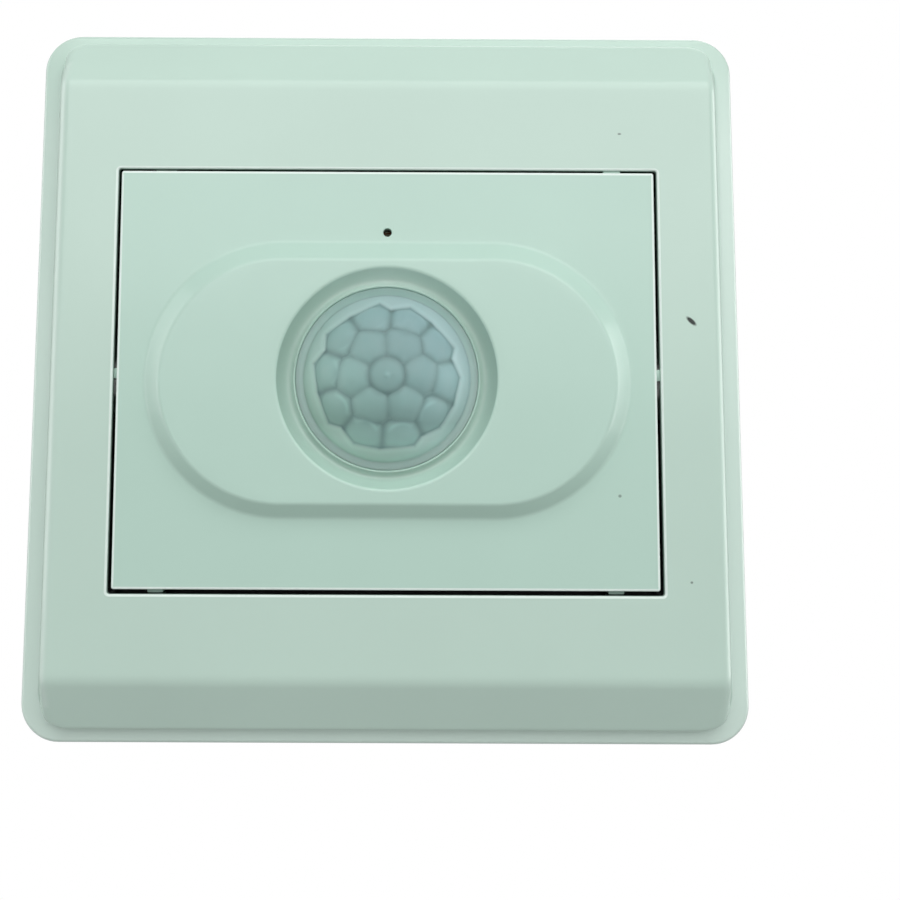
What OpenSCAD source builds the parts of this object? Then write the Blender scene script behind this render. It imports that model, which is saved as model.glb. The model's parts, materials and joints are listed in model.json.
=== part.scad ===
// Motion sensor light switch: a clip-on front with a lens dome, a base plate that screws to
// a square wall box, and a rear box that holds two boards, a relay and the wire terminals.
// Drawn with x to the right, y up and z out of the wall, then turned so the front faces -Y.

/* [Front frame] */
// Width and height of the square front
plate_size = 86; // [80:0.5:100]
// Radius of the front's outer corners
plate_corner_r = 4.6; // [3.5:0.1:8]
// Width of the low rim around the raised face
rim_w = 1.7; // [1.2:0.1:2.5]
// Height of the low rim above the wall
rim_h = 3.2; // [2.4:0.1:4]
// Radius of the rim's outer edge
rim_edge_r = 1.2; // [0.4:0.1:1.5]
// Height of the face above the wall
face_h = 8.6; // [8:0.1:12]
// Run of the shoulders along the top and bottom edges
shoulder_run = 6; // [4:0.1:8]
// Fall of the shoulders
shoulder_drop = 3.2; // [1.5:0.1:4]
// Radius of the bend between the face and a shoulder
shoulder_bend_r = 4; // [1:0.5:8]
// Run of the sloped left and right edges
side_run = 2.6; // [1.5:0.1:4]
// Radius of the bend between the face and a side
side_bend_r = 1.4; // [0.4:0.1:2]
// Wall thickness of the frame's shell
shell_t = 1.8; // [1.2:0.1:2.4]
// Thickness of the wall around the panel's opening
frame_skirt_t = 1.2; // [0.8:0.1:2]
// Radius of the four pegs that push into the base plate
peg_r = 1.6; // [1.2:0.1:2.2]

/* [Sensor panel] */
// Width of the insert
panel_w = 62.5; // [58:0.1:66]
// Height of the insert
panel_h = 48.6; // [44:0.1:52]
// Gap between the insert and the frame
panel_gap = 0.5; // [0.3:0.05:0.8]
// Thickness of the insert's front
panel_t = 2; // [1.5:0.1:3]
// Thickness of the insert's side walls
panel_skirt_t = 1.4; // [1:0.1:2]
// Thickness of the flange behind the frame
panel_flange_t = 1.2; // [0.8:0.1:1.6]
// Overall length of the raised pad
pad_w = 56.5; // [50:0.1:60]
// Height of the raised pad, which is also the width of its round ends
pad_h = 32; // [29:0.1:36]
// Rise of the pad above the insert
pad_rise = 1.8; // [1:0.1:2.5]
// Width of the pad's sloped edge
pad_bevel = 2; // [1:0.1:2.4]
// Diameter of the recess around the lens, at the pad's top
recess_d = 25.3; // [24:0.1:27]
// Diameter of the pinhole for the light sensor
light_hole_d = 1; // [0.8:0.1:2]
// Gap between the lens's collar and the light sensor behind the pinhole
light_hole_gap = 0.7; // [0.5:0.1:2]
// Width of the small nibs that centre the insert
nib_w = 2.4; // [1.5:0.1:4]

/* [Lens] */
// Diameter of the lens where it passes the panel
lens_d = 21; // [19:0.1:22]
// Width of the step between the lens's side and its dome
lens_step = 0.8; // [0.5:0.1:1.2]
// Rise of the dome
dome_rise = 6; // [4:0.1:8]
// Wall thickness of the lens
lens_t = 0.9; // [0.7:0.1:1.2]
// Width of the lens's flange behind the panel
lens_flange_w = 1.8; // [1.2:0.1:2.2]
// Thickness of the lens's flange
lens_flange_t = 1.2; // [0.8:0.1:1.4]
// Angle between neighbouring facets of the dome
facet_step = 21; // [18:0.5:23]
// Thickness of the ring that holds the lens
retainer_t = 1.2; // [0.8:0.1:1.4]
// Wall thickness of the collar around the lens's flange
collar_t = 1.4; // [1:0.1:2]

/* [Base plate] */
// Thickness of the base plate
yoke_t = 2; // [1.6:0.1:2.4]
// Distance between the two fixing slots
mount_spacing = 60.3; // [58:0.1:64]
// Width of a fixing slot
slot_w = 4.2; // [3.8:0.1:4.6]
// Length of a fixing slot
slot_len = 7; // [5.5:0.1:8]
// Diameter of the room left for a fixing screw's head
screw_head_room = 9; // [8:0.1:10]
// Height of the room left for a fixing screw's head
screw_head_h = 3; // [2.5:0.1:3.4]

/* [Rear box] */
// Width of the rear box
box_w = 50; // [48:0.1:51]
// Height of the rear box
box_h = 53; // [51:0.1:56]
// Thickness of the rear box's side walls
box_wall = 1.6; // [1.2:0.1:2]
// Thickness of the rear wall
rear_wall_t = 1.8; // [1.4:0.1:2.4]
// Width of the shallow label field on the rear wall
label_w = 30; // [20:0.5:32]
// Height of the shallow label field on the rear wall
label_h = 22; // [14:0.5:24]
// Depth of the shallow label field
label_depth = 0.3; // [0.2:0.1:0.6]
// Radius of the four screw columns
column_r = 3; // [2.8:0.1:3.4]
// Diameter of a cover screw's thread
cover_screw_d = 2.5; // [2:0.1:3]
// Diameter of a cover screw's head
cover_head_d = 4.6; // [4:0.1:5]
// Height of a cover screw's head
cover_head_h = 1.6; // [1.2:0.1:2]

/* [Boards] */
// Thickness of both boards
board_t = 1.6; // [1.2:0.1:2]
// Distance between the two boards
link_h = 5.3; // [4.8:0.1:8]
// Distance between the sensor board and the base plate
sensor_board_gap = 0.5; // [0.3:0.1:1]
// Thickness of the ribs that clamp the power board
rib_t = 1.6; // [1.2:0.1:2]
// Diameter of a board screw's thread
board_screw_d = 1.9; // [1.6:0.1:2.2]
// Height of a board screw's head
board_head_h = 1.2; // [0.8:0.1:1.6]
// Pitch of the pins between the boards
link_pitch = 2.54; // [2:0.01:2.54]
// Width of a pin between the boards
pin_w = 0.64; // [0.5:0.01:0.7]

/* [Sensor parts] */
// Diameter of the infrared sensor's can
pir_d = 8.2; // [7.6:0.1:9]
// Height of the infrared sensor's can
pir_h = 4.2; // [3.6:0.1:5]
// Width of the infrared sensor's window
pir_window_w = 5.2; // [4:0.1:5.5]
// Height of the infrared sensor's window
pir_window_h = 4; // [3:0.1:4.2]
// Diameter of the light sensor
ldr_d = 5; // [4:0.1:5.5]
// Thickness of the light sensor
ldr_t = 2; // [1.5:0.1:2.4]
// Length of the control chip
chip_w = 10; // [8:0.1:10.4]
// Width of the control chip
chip_h = 4; // [3.6:0.1:5.4]
// Thickness of the control chip
chip_t = 1.6; // [1.2:0.1:2]
// Pitch of the control chip's leads
chip_pitch = 1.27; // [1:0.01:1.27]
// Diameter of a small capacitor on the sensor board
signal_cap_d = 4; // [3:0.1:5]
// Height of a small capacitor on the sensor board
signal_cap_h = 4.4; // [3:0.1:4.6]
// Diameter of a trimmer
trimmer_d = 6.5; // [5.5:0.1:7]
// Height of a trimmer's body
trimmer_h = 2.4; // [2:0.1:2.8]
// Diameter of a trimmer's rotor
rotor_d = 5.2; // [4.4:0.1:5.4]
// Thickness of a trimmer's rotor
rotor_t = 0.9; // [0.7:0.1:1.2]

/* [Relay] */
// Length of the relay
relay_w = 19; // [18.5:0.1:19.5]
// Width of the relay
relay_d = 15.5; // [15:0.1:16]
// Height of the relay
relay_h = 15.3; // [15:0.1:16.5]
// Thickness of the relay's base
relay_base_t = 1.2; // [1:0.1:1.5]
// Wall thickness of the relay's cover
relay_wall = 0.8; // [0.6:0.1:1]
// Radius of the relay's iron core
core_r = 2.2; // [1.8:0.1:2.4]
// Thickness of the relay's armature
armature_t = 1; // [0.8:0.1:1.2]
// Gap between the armature and the core at rest
armature_gap = 0.9; // [0.8:0.05:1.1]

/* [Power parts] */
// Length of the film capacitor
film_w = 18; // [15:0.1:18.5]
// Thickness of the film capacitor
film_d = 8.5; // [7:0.1:9]
// Height of the film capacitor
film_h = 14; // [12:0.1:15]
// Diameter of the filter capacitor
filter_d = 8; // [6.3:0.1:8.5]
// Height of the filter capacitor
filter_h = 12; // [10:0.1:14]
// Diameter of the surge disc
surge_d = 8.5; // [7:0.1:9]
// Thickness of the surge disc
surge_t = 4; // [3.5:0.1:4.5]
// Diameter of the fuse
fuse_d = 8.4; // [7.5:0.1:8.6]
// Height of the fuse
fuse_h = 8; // [7:0.1:9]
// Diameter of a rectifier diode
diode_d = 2.7; // [2.4:0.1:3]
// Length of a rectifier diode
diode_l = 5.2; // [4.5:0.1:5.6]
// Diameter of a dropper resistor
resistor_d = 3.4; // [2.8:0.1:3.6]
// Length of a dropper resistor
resistor_l = 9; // [7:0.1:9.5]

/* [Terminals] */
// Distance between two poles
pole_pitch = 7.62; // [7.4:0.01:8]
// Depth of a pole from its wire side to its back
pole_d = 10.5; // [10:0.1:11.5]
// Diameter of a wire hole
wire_hole_d = 4; // [3.6:0.1:4.2]
// Thickness of the wall that the wire hole goes through
entry_wall = 2; // [1.6:0.1:2.4]
// Diameter of a terminal screw's thread
clamp_screw_d = 2.9; // [2.5:0.1:3]
// Diameter of a terminal screw's head
clamp_head_d = 4; // [3.8:0.1:4.4]
// Height of a terminal screw's head
clamp_head_h = 1.8; // [1.4:0.1:2]
// Depth of a terminal screw's head below the rear face
clamp_head_sink = 1.4; // [1:0.1:2]
// Travel of a clamp cage
clamp_travel = 3.2; // [2.8:0.1:3.4]
// Thickness of a clamp cage's threaded end
cage_nut_t = 2; // [1.6:0.1:2.4]
// Wall thickness of a clamp cage
cage_wall = 0.8; // [0.6:0.05:0.9]
// Thickness of a clamp cage's closed end
cage_floor_t = 1; // [0.8:0.1:1.2]
// Gap between a clamp cage and its contact bar when the clamp is open
cage_bar_gap = 0.6; // [0.4:0.1:1]
// Thickness of a contact bar
bar_t = 1; // [0.8:0.1:1.2]

/* [Fits] */
// Clearance between pieces that are put together by hand
fit = 0.2; // [0.15:0.01:0.3]
// Clearance between pieces that turn or slide on each other
run_fit = 0.05; // [0.03:0.01:0.08]

/* [Hidden] */
$fn = 64;

// Heights along z
split_z = -(sensor_board_gap + board_t + link_h);
sensor_front_z = -sensor_board_gap;
sensor_back_z = sensor_front_z - board_t;
power_back_z = split_z - board_t;
panel_back_z = face_h - panel_t;
flange_z = yoke_t + 1.1;
seat_z = flange_z + panel_flange_t;
socket_z = yoke_t + 2;
retainer_z = panel_back_z - lens_flange_t - retainer_t;
partition_t = 1;
pole_floor_t = 1;
pole_h = clamp_head_sink + clamp_head_h + partition_t + fit + clamp_travel + cage_nut_t
       + cage_bar_gap + bar_t + wire_hole_d + cage_floor_t + fit + pole_floor_t;
part_room = max(relay_h, film_h, filter_h, surge_d + 2, fuse_h, pole_h - rear_wall_t) + 0.4;
rear_inner_z = power_back_z - part_room;
rear_z = rear_inner_z - rear_wall_t;

// Frame
body_half = plate_size / 2 - rim_w;
body_corner_r = plate_corner_r - rim_w;
open_w = panel_w + 2 * panel_gap;
open_h = panel_h + 2 * panel_gap;
flange_w = open_w + 2 * frame_skirt_t;
flange_h = open_h + 2 * frame_skirt_t;
peg_y = body_half - shoulder_run - peg_r - fit;
head_room_z = yoke_t + screw_head_h + 0.4;
relief_r = screw_head_room / 2;

// Panel and lens
pad_r = pad_h / 2;
pad_straight = pad_w - pad_h;
lens_r = lens_d / 2;
lens_bore_r = lens_r + fit / 2;
recess_floor_z = face_h - 0.2;
lens_flange_r = lens_r + lens_flange_w;
collar_r = lens_flange_r + fit / 2;
light_hole_y = collar_r + collar_t + light_hole_gap + ldr_d / 2;
dome_z = face_h + 0.3;
dome_base_r = lens_r - lens_step;
dome_r = (dome_base_r * dome_base_r + dome_rise * dome_rise) / (2 * dome_rise);
dome_centre_z = dome_z + dome_rise - dome_r;
lens_inner_r = dome_base_r - lens_t - 0.3;
ring_facets = [[0, 1, 0], [1, 6, 0], [2, 10, -3]];

// Base plate and rear box
yoke_size = 2 * (body_half - shell_t - 0.5);
cavity_w = box_w - 2 * box_wall;
cavity_h = box_h - 2 * box_wall;
column_x = cavity_w / 2 - column_r + 0.5;
column_y = cavity_h / 2 - column_r + 0.5;
rib_w = 6;
rib_y = 10;
rib_x = cavity_w / 2 - rib_t / 2;
screw_tip_z = -1.8;
label_y = (pole_d + column_r) / 2;
cover_seat_z = rear_z + cover_head_h + fit;

// Boards
power_board_w = cavity_w - 4 * fit;
power_board_h = cavity_h - 4 * fit;
sensor_board_w = cavity_w - 2 * rib_t - 6 * fit;
board_screw_x = 16;
board_screw_y = 12;
board_screw_tip_z = yoke_t - 0.7;
link_bar_w = 2.5;
link_x = -sensor_board_w / 2 + link_bar_w;
link_pins = 6;

// Sensor parts
pir_flange_r = pir_d / 2 + 0.5;
pir_flange_t = 0.5;
pir_top_z = sensor_front_z + pir_h;
pir_window_t = 0.4;
pir_pin_r = 0.22;
chip_x = pir_flange_r + chip_w / 2;
chip_y = -2;
chip_foot_t = 0.15;
chip_foot_l = 1;
pir_pin_circle_r = 2.54;
ldr_top_z = panel_back_z - 0.3;
trimmer_x = 9;
trimmer_y = -14;
trimmer_top_z = sensor_front_z + trimmer_h;
pivot_r = 0.9;

// Relay, measured from the power board towards the rear
relay_x = -(cavity_w / 2 - rib_t - 3 * fit) + relay_w / 2;
relay_y = column_y - column_r - 3 * fit - relay_d / 2;
upright_x = -relay_w / 2 + relay_wall + 1.1;
upright_t = 1.8;
heel_r = 0.6;
core_top = relay_h - relay_wall - 0.6 - armature_t - armature_gap;
heel_z = core_top + armature_gap - 0.3;
iron_t = 1.2;
iron_half = 4.5;
bobbin_r = min(5.6, relay_d / 2 - relay_wall - 0.5);
bobbin_flange_t = 0.6;
winding_r = bobbin_r - 0.6;
bobbin_tube_r = core_r + 0.8;
contact_x = relay_w / 2 - relay_wall - 1.9;
contact_r = 1.2;
rivet_t = 0.5;
blade_t = 0.25;
armature_tip_x = core_r + 1.6;
contact_stroke = 1.3;
rivet_low = core_top + armature_gap + armature_t - rivet_t;

// Power parts, each placed beside the last
film_left = relay_x + relay_w / 2 + 1;
parts_top = relay_y + relay_d / 2;
film_low = parts_top - film_d;
filter_x = film_left + filter_d / 2;
filter_y = film_low - 0.8 - filter_d / 2;
surge_x = film_left + filter_d + 0.6 + surge_t / 2;
surge_y = film_low - 0.8 - surge_d / 2;
second_row = film_low - 0.8 - max(filter_d, surge_d);
fuse_x = cavity_w / 2 - rib_t - 3 * fit - fuse_d / 2;
fuse_y = second_row - 0.8 - fuse_d / 2;
diode_pitch = diode_d + 1.2;
diode_y = relay_y - relay_d / 2 - 1.2 - diode_l / 2;
resistor_r = resistor_d / 2;
resistor_left = film_left - 2;
resistor_y = second_row - 0.8 - resistor_r;

// Terminals
pole_w = pole_pitch - 0.06;
pole_y = -box_h / 2;
pole_z = power_back_z - pole_h;
chamber_y = pole_y + entry_wall;
chamber_d = pole_d - entry_wall - 2.7;
clamp_seat_z = pole_z + clamp_head_sink + clamp_head_h;
chamber_z = clamp_seat_z + partition_t;
cage_w = 2 * (pole_w / 2 - 0.8 - fit);
cage_d = chamber_d - 2 * fit;
cage_z = chamber_z + fit + clamp_travel;
bar_z = cage_z + cage_nut_t + cage_bar_gap;
wire_z = bar_z + bar_t + wire_hole_d / 2;
cage_top_z = bar_z + bar_t + wire_hole_d + cage_floor_t;
bar_w = cage_w - 2 * cage_wall - 2 * fit;
pole_x = [-pole_pitch, 0, pole_pitch];

// Points of an arc, from one angle to another
function arc(cx, cy, r, a0, a1, n) =
    [for (i = [0 : n]) let (a = a0 + (a1 - a0) * i / n) [cx + r * cos(a), cy + r * sin(a)]];

// One half of a profile with a flat top, a bend and a sloped edge
function edge_half(half, run, top, drop, bend, low) =
    let (angle = atan(drop / run),
         reach = bend * tan(angle / 2),
         flat = half - run - reach)
    concat([[half, low], [half, top - drop]], arc(flat, top - bend, bend, 90 - angle, 90, 6));

// How far the foot of a slope moves in when its surface is set back by a wall's thickness
function set_back(half, run, drop, inset) =
    half - inset * (sqrt(run * run + drop * drop) - run) / drop;

function flipped(points) = [for (i = [len(points) - 1 : -1 : 0]) [-points[i][0], points[i][1]]];

module on_wall() rotate([90, 0, 0]) children();

module on_corners(x, y)
    for (i = [-1, 1], j = [-1, 1]) translate([i * x, j * y, 0]) children();

// Pieces on the rear side of the power board are drawn standing on it
module on_power_board() translate([0, 0, power_back_z]) mirror([0, 0, 1]) children();

module rounded_rect(w, h, r) {
    square([w - 2 * r, h], center = true);
    square([w, h - 2 * r], center = true);
    on_corners(w / 2 - r, h / 2 - r) circle(r);
}

module slab(w, h, r, z0, z1)
    translate([0, 0, z0]) linear_extrude(z1 - z0) rounded_rect(w, h, r);

module rect_tube(w, h, wall, z0, z1)
    translate([0, 0, z0]) linear_extrude(z1 - z0) difference() {
        square([w, h], center = true);
        square([w - 2 * wall, h - 2 * wall], center = true);
    }

module block(x0, x1, y0, y1, z0, z1)
    translate([x0, y0, z0]) cube([x1 - x0, y1 - y0, z1 - z0]);

module rod(r, z0, z1) translate([0, 0, z0]) cylinder(r = r, h = z1 - z0);

// The raised form of the frame, or the hollow inside it when it is set back
module raised_form(inset, low) {
    top = face_h - inset;
    rise = face_h - rim_h;
    shoulder = edge_half(set_back(body_half, shoulder_run, shoulder_drop, inset),
                         shoulder_run, top, shoulder_drop, shoulder_bend_r, low);
    side = edge_half(set_back(body_half, side_run, rise, inset),
                     side_run, top, rise, side_bend_r, low);
    intersection() {
        slab(2 * (body_half - inset), 2 * (body_half - inset),
             max(body_corner_r - inset, 0.5), low, face_h + 1);
        rotate([90, 0, 90]) linear_extrude(plate_size, center = true)
            polygon(concat(shoulder, flipped(shoulder)));
        rotate([90, 0, 0]) linear_extrude(plate_size, center = true)
            polygon(concat(side, flipped(side)));
    }
}

module rim_profile()
    polygon(concat([[0, rim_h], [0, 0], [plate_corner_r, 0]],
                   arc(plate_corner_r - rim_edge_r, rim_h - rim_edge_r, rim_edge_r, 0, 90, 5)));

module rim() {
    inner = plate_size / 2 - plate_corner_r;
    for (a = [0 : 90 : 270]) rotate(a) {
        translate([inner, 0, 0]) rotate([90, 0, 0])
            linear_extrude(2 * inner, center = true) rim_profile();
        translate([inner, inner, 0]) rotate_extrude(angle = 90) rim_profile();
    }
}

// Room for the heads of the two fixing screws
module screw_head_relief(extra)
    for (i = [-1, 1]) translate([i * mount_spacing / 2, 0, 0])
        rod(relief_r + extra, -1, head_room_z);

module front_frame() color("honeydew") on_wall() difference() {
    union() {
        difference() {
            union() {
                rim();
                raised_form(0, 0);
            }
            raised_form(shell_t, -1);
        }
        rect_tube(flange_w, flange_h, frame_skirt_t, seat_z, face_h - shell_t / 2);
        on_corners(peg_y, peg_y) {
            rod(peg_r + 1, socket_z, face_h - shell_t / 2);
            rod(peg_r, 0.5, socket_z + 0.5);
        }
    }
    slab(open_w, open_h, 0.8, -1, face_h + 1);
    screw_head_relief(fit);
}

// Raised pad with round ends and a sloped edge all round
module pad() {
    for (i = [-1, 1]) translate([i * pad_straight / 2, 0, face_h])
        cylinder(r1 = pad_r, r2 = pad_r - pad_bevel, h = pad_rise);
    rotate([90, 0, 90]) linear_extrude(pad_straight, center = true)
        polygon([[-pad_r, face_h - 0.5], [pad_r, face_h - 0.5], [pad_r, face_h],
                 [pad_r - pad_bevel, face_h + pad_rise], [-pad_r + pad_bevel, face_h + pad_rise],
                 [-pad_r, face_h]]);
}

module panel_nibs() {
    for (i = [-1, 1], j = [-1, 1])
        translate([i * (panel_w / 2 - 4.8), j * (panel_h / 2), 0])
            block(-nib_w / 2, nib_w / 2, -panel_gap, panel_gap, face_h - 3, face_h - 0.5);
    for (i = [-1, 1]) translate([i * panel_w / 2, 0, 0])
        block(-panel_gap, panel_gap, -nib_w / 4, nib_w / 4, face_h - 2.4, face_h - 0.5);
}

module sensor_panel() color("honeydew") on_wall() difference() {
    union() {
        slab(panel_w, panel_h, 0.5, panel_back_z, face_h);
        rect_tube(panel_w, panel_h, panel_skirt_t, flange_z, panel_back_z + 0.5);
        rect_tube(flange_w, flange_h, panel_gap + frame_skirt_t + panel_skirt_t, flange_z, seat_z);
        pad();
        panel_nibs();
        rod(collar_r + collar_t, retainer_z, panel_back_z + 0.5);
    }
    translate([0, 0, recess_floor_z])
        cylinder(r1 = lens_bore_r + 0.5, r2 = recess_d / 2, h = face_h + pad_rise - recess_floor_z);
    rod(recess_d / 2, face_h + pad_rise, face_h + pad_rise + 1);
    rod(lens_bore_r, panel_back_z - 1, face_h);
    rod(collar_r, retainer_z - 1, panel_back_z);
    translate([0, light_hole_y, 0]) rod(light_hole_d / 2, panel_back_z - 1, face_h + 1);
    screw_head_relief(0);
}

// Flat facets of the dome: one in the middle and two rings around it
module facet_cuts()
    for (ring = ring_facets, i = [0 : ring[1] - 1])
        translate([0, 0, dome_centre_z]) rotate([0, 0, ring[2] + i * 360 / ring[1]])
            rotate([0, ring[0] * facet_step, 0])
                translate([-4, -4, dome_r * cos(facet_step / 2)]) cube([8, 8, 4]);

module fresnel_lens() color("lightcyan") on_wall() difference() {
    union() {
        rod(lens_flange_r, panel_back_z - lens_flange_t, panel_back_z);
        rod(lens_r, panel_back_z - 0.5, dome_z);
        intersection() {
            translate([0, 0, dome_centre_z]) sphere(dome_r);
            rod(lens_r, dome_z - 0.5, dome_z + dome_rise + 1);
        }
    }
    facet_cuts();
    rod(lens_inner_r, panel_back_z - lens_flange_t - 1, dome_z - 0.5);
    intersection() {
        translate([0, 0, dome_centre_z]) sphere(dome_r - lens_t);
        rod(lens_inner_r, dome_z - 1, dome_z + dome_rise);
    }
}

module lens_retainer() color("white") on_wall() difference() {
    rod(collar_r, retainer_z, retainer_z + retainer_t);
    rod(lens_inner_r, retainer_z - 1, retainer_z + retainer_t + 1);
}

module slot_outline() {
    reach = (slot_len - slot_w) / 2;
    square([2 * reach, slot_w], center = true);
    for (i = [-1, 1]) translate([i * reach, 0]) circle(slot_w / 2);
}

// Ribs at both sides that clamp the power board
module board_ribs(z0, z1)
    on_corners(rib_x, rib_y) block(-rib_t / 2, rib_t / 2, -rib_w / 2, rib_w / 2, z0, z1);

module base_plate() color("white") on_wall() difference() {
    union() {
        slab(yoke_size, yoke_size, 3, 0, yoke_t);
        on_corners(peg_y, peg_y) rod(peg_r + run_fit + 1.5, 0, socket_z);
        difference() {
            slab(box_w, box_h, 2, split_z, 0.5);
            block(-cavity_w / 2, cavity_w / 2, -cavity_h / 2, cavity_h / 2, split_z - 1, 0);
        }
        on_corners(column_x, column_y) rod(column_r, split_z, 0.5);
        board_ribs(split_z, 0.5);
        on_corners(board_screw_x, board_screw_y) rod(2.4, sensor_front_z, 0.5);
    }
    for (i = [-1, 1]) translate([i * mount_spacing / 2, 0, -1])
        linear_extrude(yoke_t + 2) slot_outline();
    on_corners(peg_y, peg_y) rod(peg_r + run_fit, -1, socket_z + 1);
    on_corners(column_x, column_y) rod(cover_screw_d / 2 + run_fit, split_z - 1, screw_tip_z + 0.6);
    on_corners(board_screw_x, board_screw_y)
        rod(board_screw_d / 2 + run_fit, sensor_front_z - 1, board_screw_tip_z + 0.3);
    rod(pir_flange_r + fit, -1, yoke_t + 1);
    translate([0, light_hole_y, 0]) rod(ldr_d / 2 + 2 * fit, -1, yoke_t + 1);
    for (i = [-1, 1]) translate([i * trimmer_x, trimmer_y, 0])
        rod(trimmer_d / 2 + 2 * fit, -1, yoke_t + 1);
}

module rear_cover() color("white") on_wall() difference() {
    union() {
        difference() {
            slab(box_w, box_h, 2, rear_z, split_z);
            block(-cavity_w / 2, cavity_w / 2, -cavity_h / 2, cavity_h / 2,
                  rear_inner_z, split_z + 1);
        }
        on_corners(column_x, column_y) rod(column_r, rear_z + 0.5, split_z);
        board_ribs(rear_z + 0.5, power_back_z);
    }
    on_corners(column_x, column_y) {
        rod(cover_head_d / 2 + fit, rear_z - 1, cover_seat_z);
        rod(cover_screw_d / 2 + fit, rear_z, split_z + 1);
    }
    block(-1.5 * pole_pitch - fit, 1.5 * pole_pitch + fit,
          pole_y - 1, pole_y + pole_d + fit, rear_z - 1, power_back_z);
    translate([0, label_y, 0])
        block(-label_w / 2, label_w / 2, -label_h / 2, label_h / 2, rear_z - 1, rear_z + label_depth);
}

module cover_screws() color("silver") on_wall() on_corners(column_x, column_y) difference() {
    union() {
        rod(cover_head_d / 2, cover_seat_z - cover_head_h, cover_seat_z);
        rod(cover_screw_d / 2, cover_seat_z - 0.5, screw_tip_z);
    }
    for (a = [0, 90]) rotate(a)
        block(-1.4, 1.4, -0.3, 0.3, cover_seat_z - cover_head_h - 1, cover_seat_z - cover_head_h + 0.8);
}

module board_outline(w, h) difference() {
    square([w, h], center = true);
    on_corners(column_x + column_r, column_y + column_r)
        square(2 * (2 * column_r + fit), center = true);
}

module sensor_board() color("darkgreen") on_wall() difference() {
    translate([0, 0, sensor_back_z]) linear_extrude(board_t)
        board_outline(sensor_board_w, power_board_h);
    on_corners(board_screw_x, board_screw_y)
        rod(board_screw_d / 2 + fit, sensor_back_z - 1, sensor_front_z + 1);
    pir_pin_places() rod(pir_pin_r + 0.1, sensor_back_z - 1, sensor_front_z + 1);
}

module board_screws() color("silver") on_wall() on_corners(board_screw_x, board_screw_y) {
    rod(board_screw_d, sensor_back_z - board_head_h, sensor_back_z);
    rod(board_screw_d / 2, sensor_back_z - board_head_h / 2, board_screw_tip_z);
}

module pir_pin_places()
    for (a = [90, 210, 330]) rotate(a) translate([pir_pin_circle_r, 0, 0]) children();

module pir_can() color("lightgray") on_wall() difference() {
    union() {
        rod(pir_flange_r, sensor_front_z, sensor_front_z + pir_flange_t);
        rod(pir_d / 2, sensor_front_z, pir_top_z);
    }
    block(-pir_window_w / 2, pir_window_w / 2, -pir_window_h / 2, pir_window_h / 2,
          pir_top_z - pir_window_t, pir_top_z + 1);
}

module pir_window() color("dimgray") on_wall()
    block(-pir_window_w / 2, pir_window_w / 2, -pir_window_h / 2, pir_window_h / 2,
          pir_top_z - pir_window_t, pir_top_z - 0.1);

module pir_leads() color("gold") on_wall()
    pir_pin_places() rod(pir_pin_r, sensor_back_z - 1.2, sensor_front_z);

module light_sensor() color("tan") on_wall() translate([0, light_hole_y, 0]) {
    rod(ldr_d / 2, ldr_top_z - ldr_t, ldr_top_z);
    for (i = [-1, 1]) translate([i * ldr_d / 3.6, 0, 0])
        rod(0.3, sensor_front_z, ldr_top_z - ldr_t / 2);
}

module trimmer_body(x) on_wall() translate([x, trimmer_y, 0]) {
    rod(trimmer_d / 2, sensor_front_z, trimmer_top_z);
    rod(pivot_r, sensor_front_z, trimmer_top_z + rotor_t);
}

module trimmer_rotor(x) on_wall() translate([x, trimmer_y, 0]) difference() {
    rod(rotor_d / 2, trimmer_top_z + run_fit, trimmer_top_z + run_fit + rotor_t);
    rod(pivot_r + run_fit, trimmer_top_z - 1, trimmer_top_z + rotor_t + 1);
    block(-rotor_d / 2 + 0.5, rotor_d / 2 - 0.5, -0.4, 0.4,
          trimmer_top_z + rotor_t / 2, trimmer_top_z + rotor_t + 1);
}

module time_trimmer() color("royalblue") trimmer_body(-trimmer_x);

module time_rotor() color("white") trimmer_rotor(-trimmer_x);

module lux_trimmer() color("royalblue") trimmer_body(trimmer_x);

module lux_rotor() color("white") trimmer_rotor(trimmer_x);

module on_chip() on_wall() translate([chip_x, chip_y, sensor_back_z]) mirror([0, 0, 1]) children();

module control_chip() color("black") on_chip()
    block(-chip_w / 2, chip_w / 2, -chip_h / 2, chip_h / 2, chip_foot_t, chip_foot_t + chip_t);

module chip_leads() color("silver") on_chip()
    for (i = [0 : 7], j = [-1, 1])
        translate([(i - 3.5) * chip_pitch, j * (chip_h + chip_foot_l) / 2, 0])
            block(-chip_pitch / 6, chip_pitch / 6, -chip_foot_l / 2, chip_foot_l / 2,
                  0, chip_foot_t + chip_t / 4);

module signal_capacitors() color("navy") on_wall()
    for (i = [0, 1]) translate([-pir_flange_r - i * (signal_cap_d + 2 * fit), chip_y + 12, 0])
        rod(signal_cap_d / 2, sensor_back_z - signal_cap_h, sensor_back_z);

module board_link() color("black") on_wall() {
    reach = (link_pins - 1) / 2 * link_pitch;
    block(link_x - link_bar_w / 2, link_x + link_bar_w / 2,
          -reach - link_pitch / 2, reach + link_pitch / 2, sensor_back_z - link_bar_w, sensor_back_z);
    for (i = [0 : link_pins - 1]) translate([link_x, -reach + i * link_pitch, 0])
        block(-pin_w / 2, pin_w / 2, -pin_w / 2, pin_w / 2, split_z, sensor_back_z - 1);
}

module power_board() color("darkgreen") on_wall()
    translate([0, 0, power_back_z]) linear_extrude(board_t)
        board_outline(power_board_w, power_board_h);

module film_capacitor() color("goldenrod") on_wall() on_power_board()
    block(film_left, film_left + film_w, film_low, parts_top, 0, film_h);

module filter_capacitor() color("midnightblue") on_wall() on_power_board()
    translate([filter_x, filter_y, 0]) difference() {
        rod(filter_d / 2, 0, filter_h);
        rod(filter_d / 2 - 0.7, filter_h - 0.3, filter_h + 1);
    }

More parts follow.
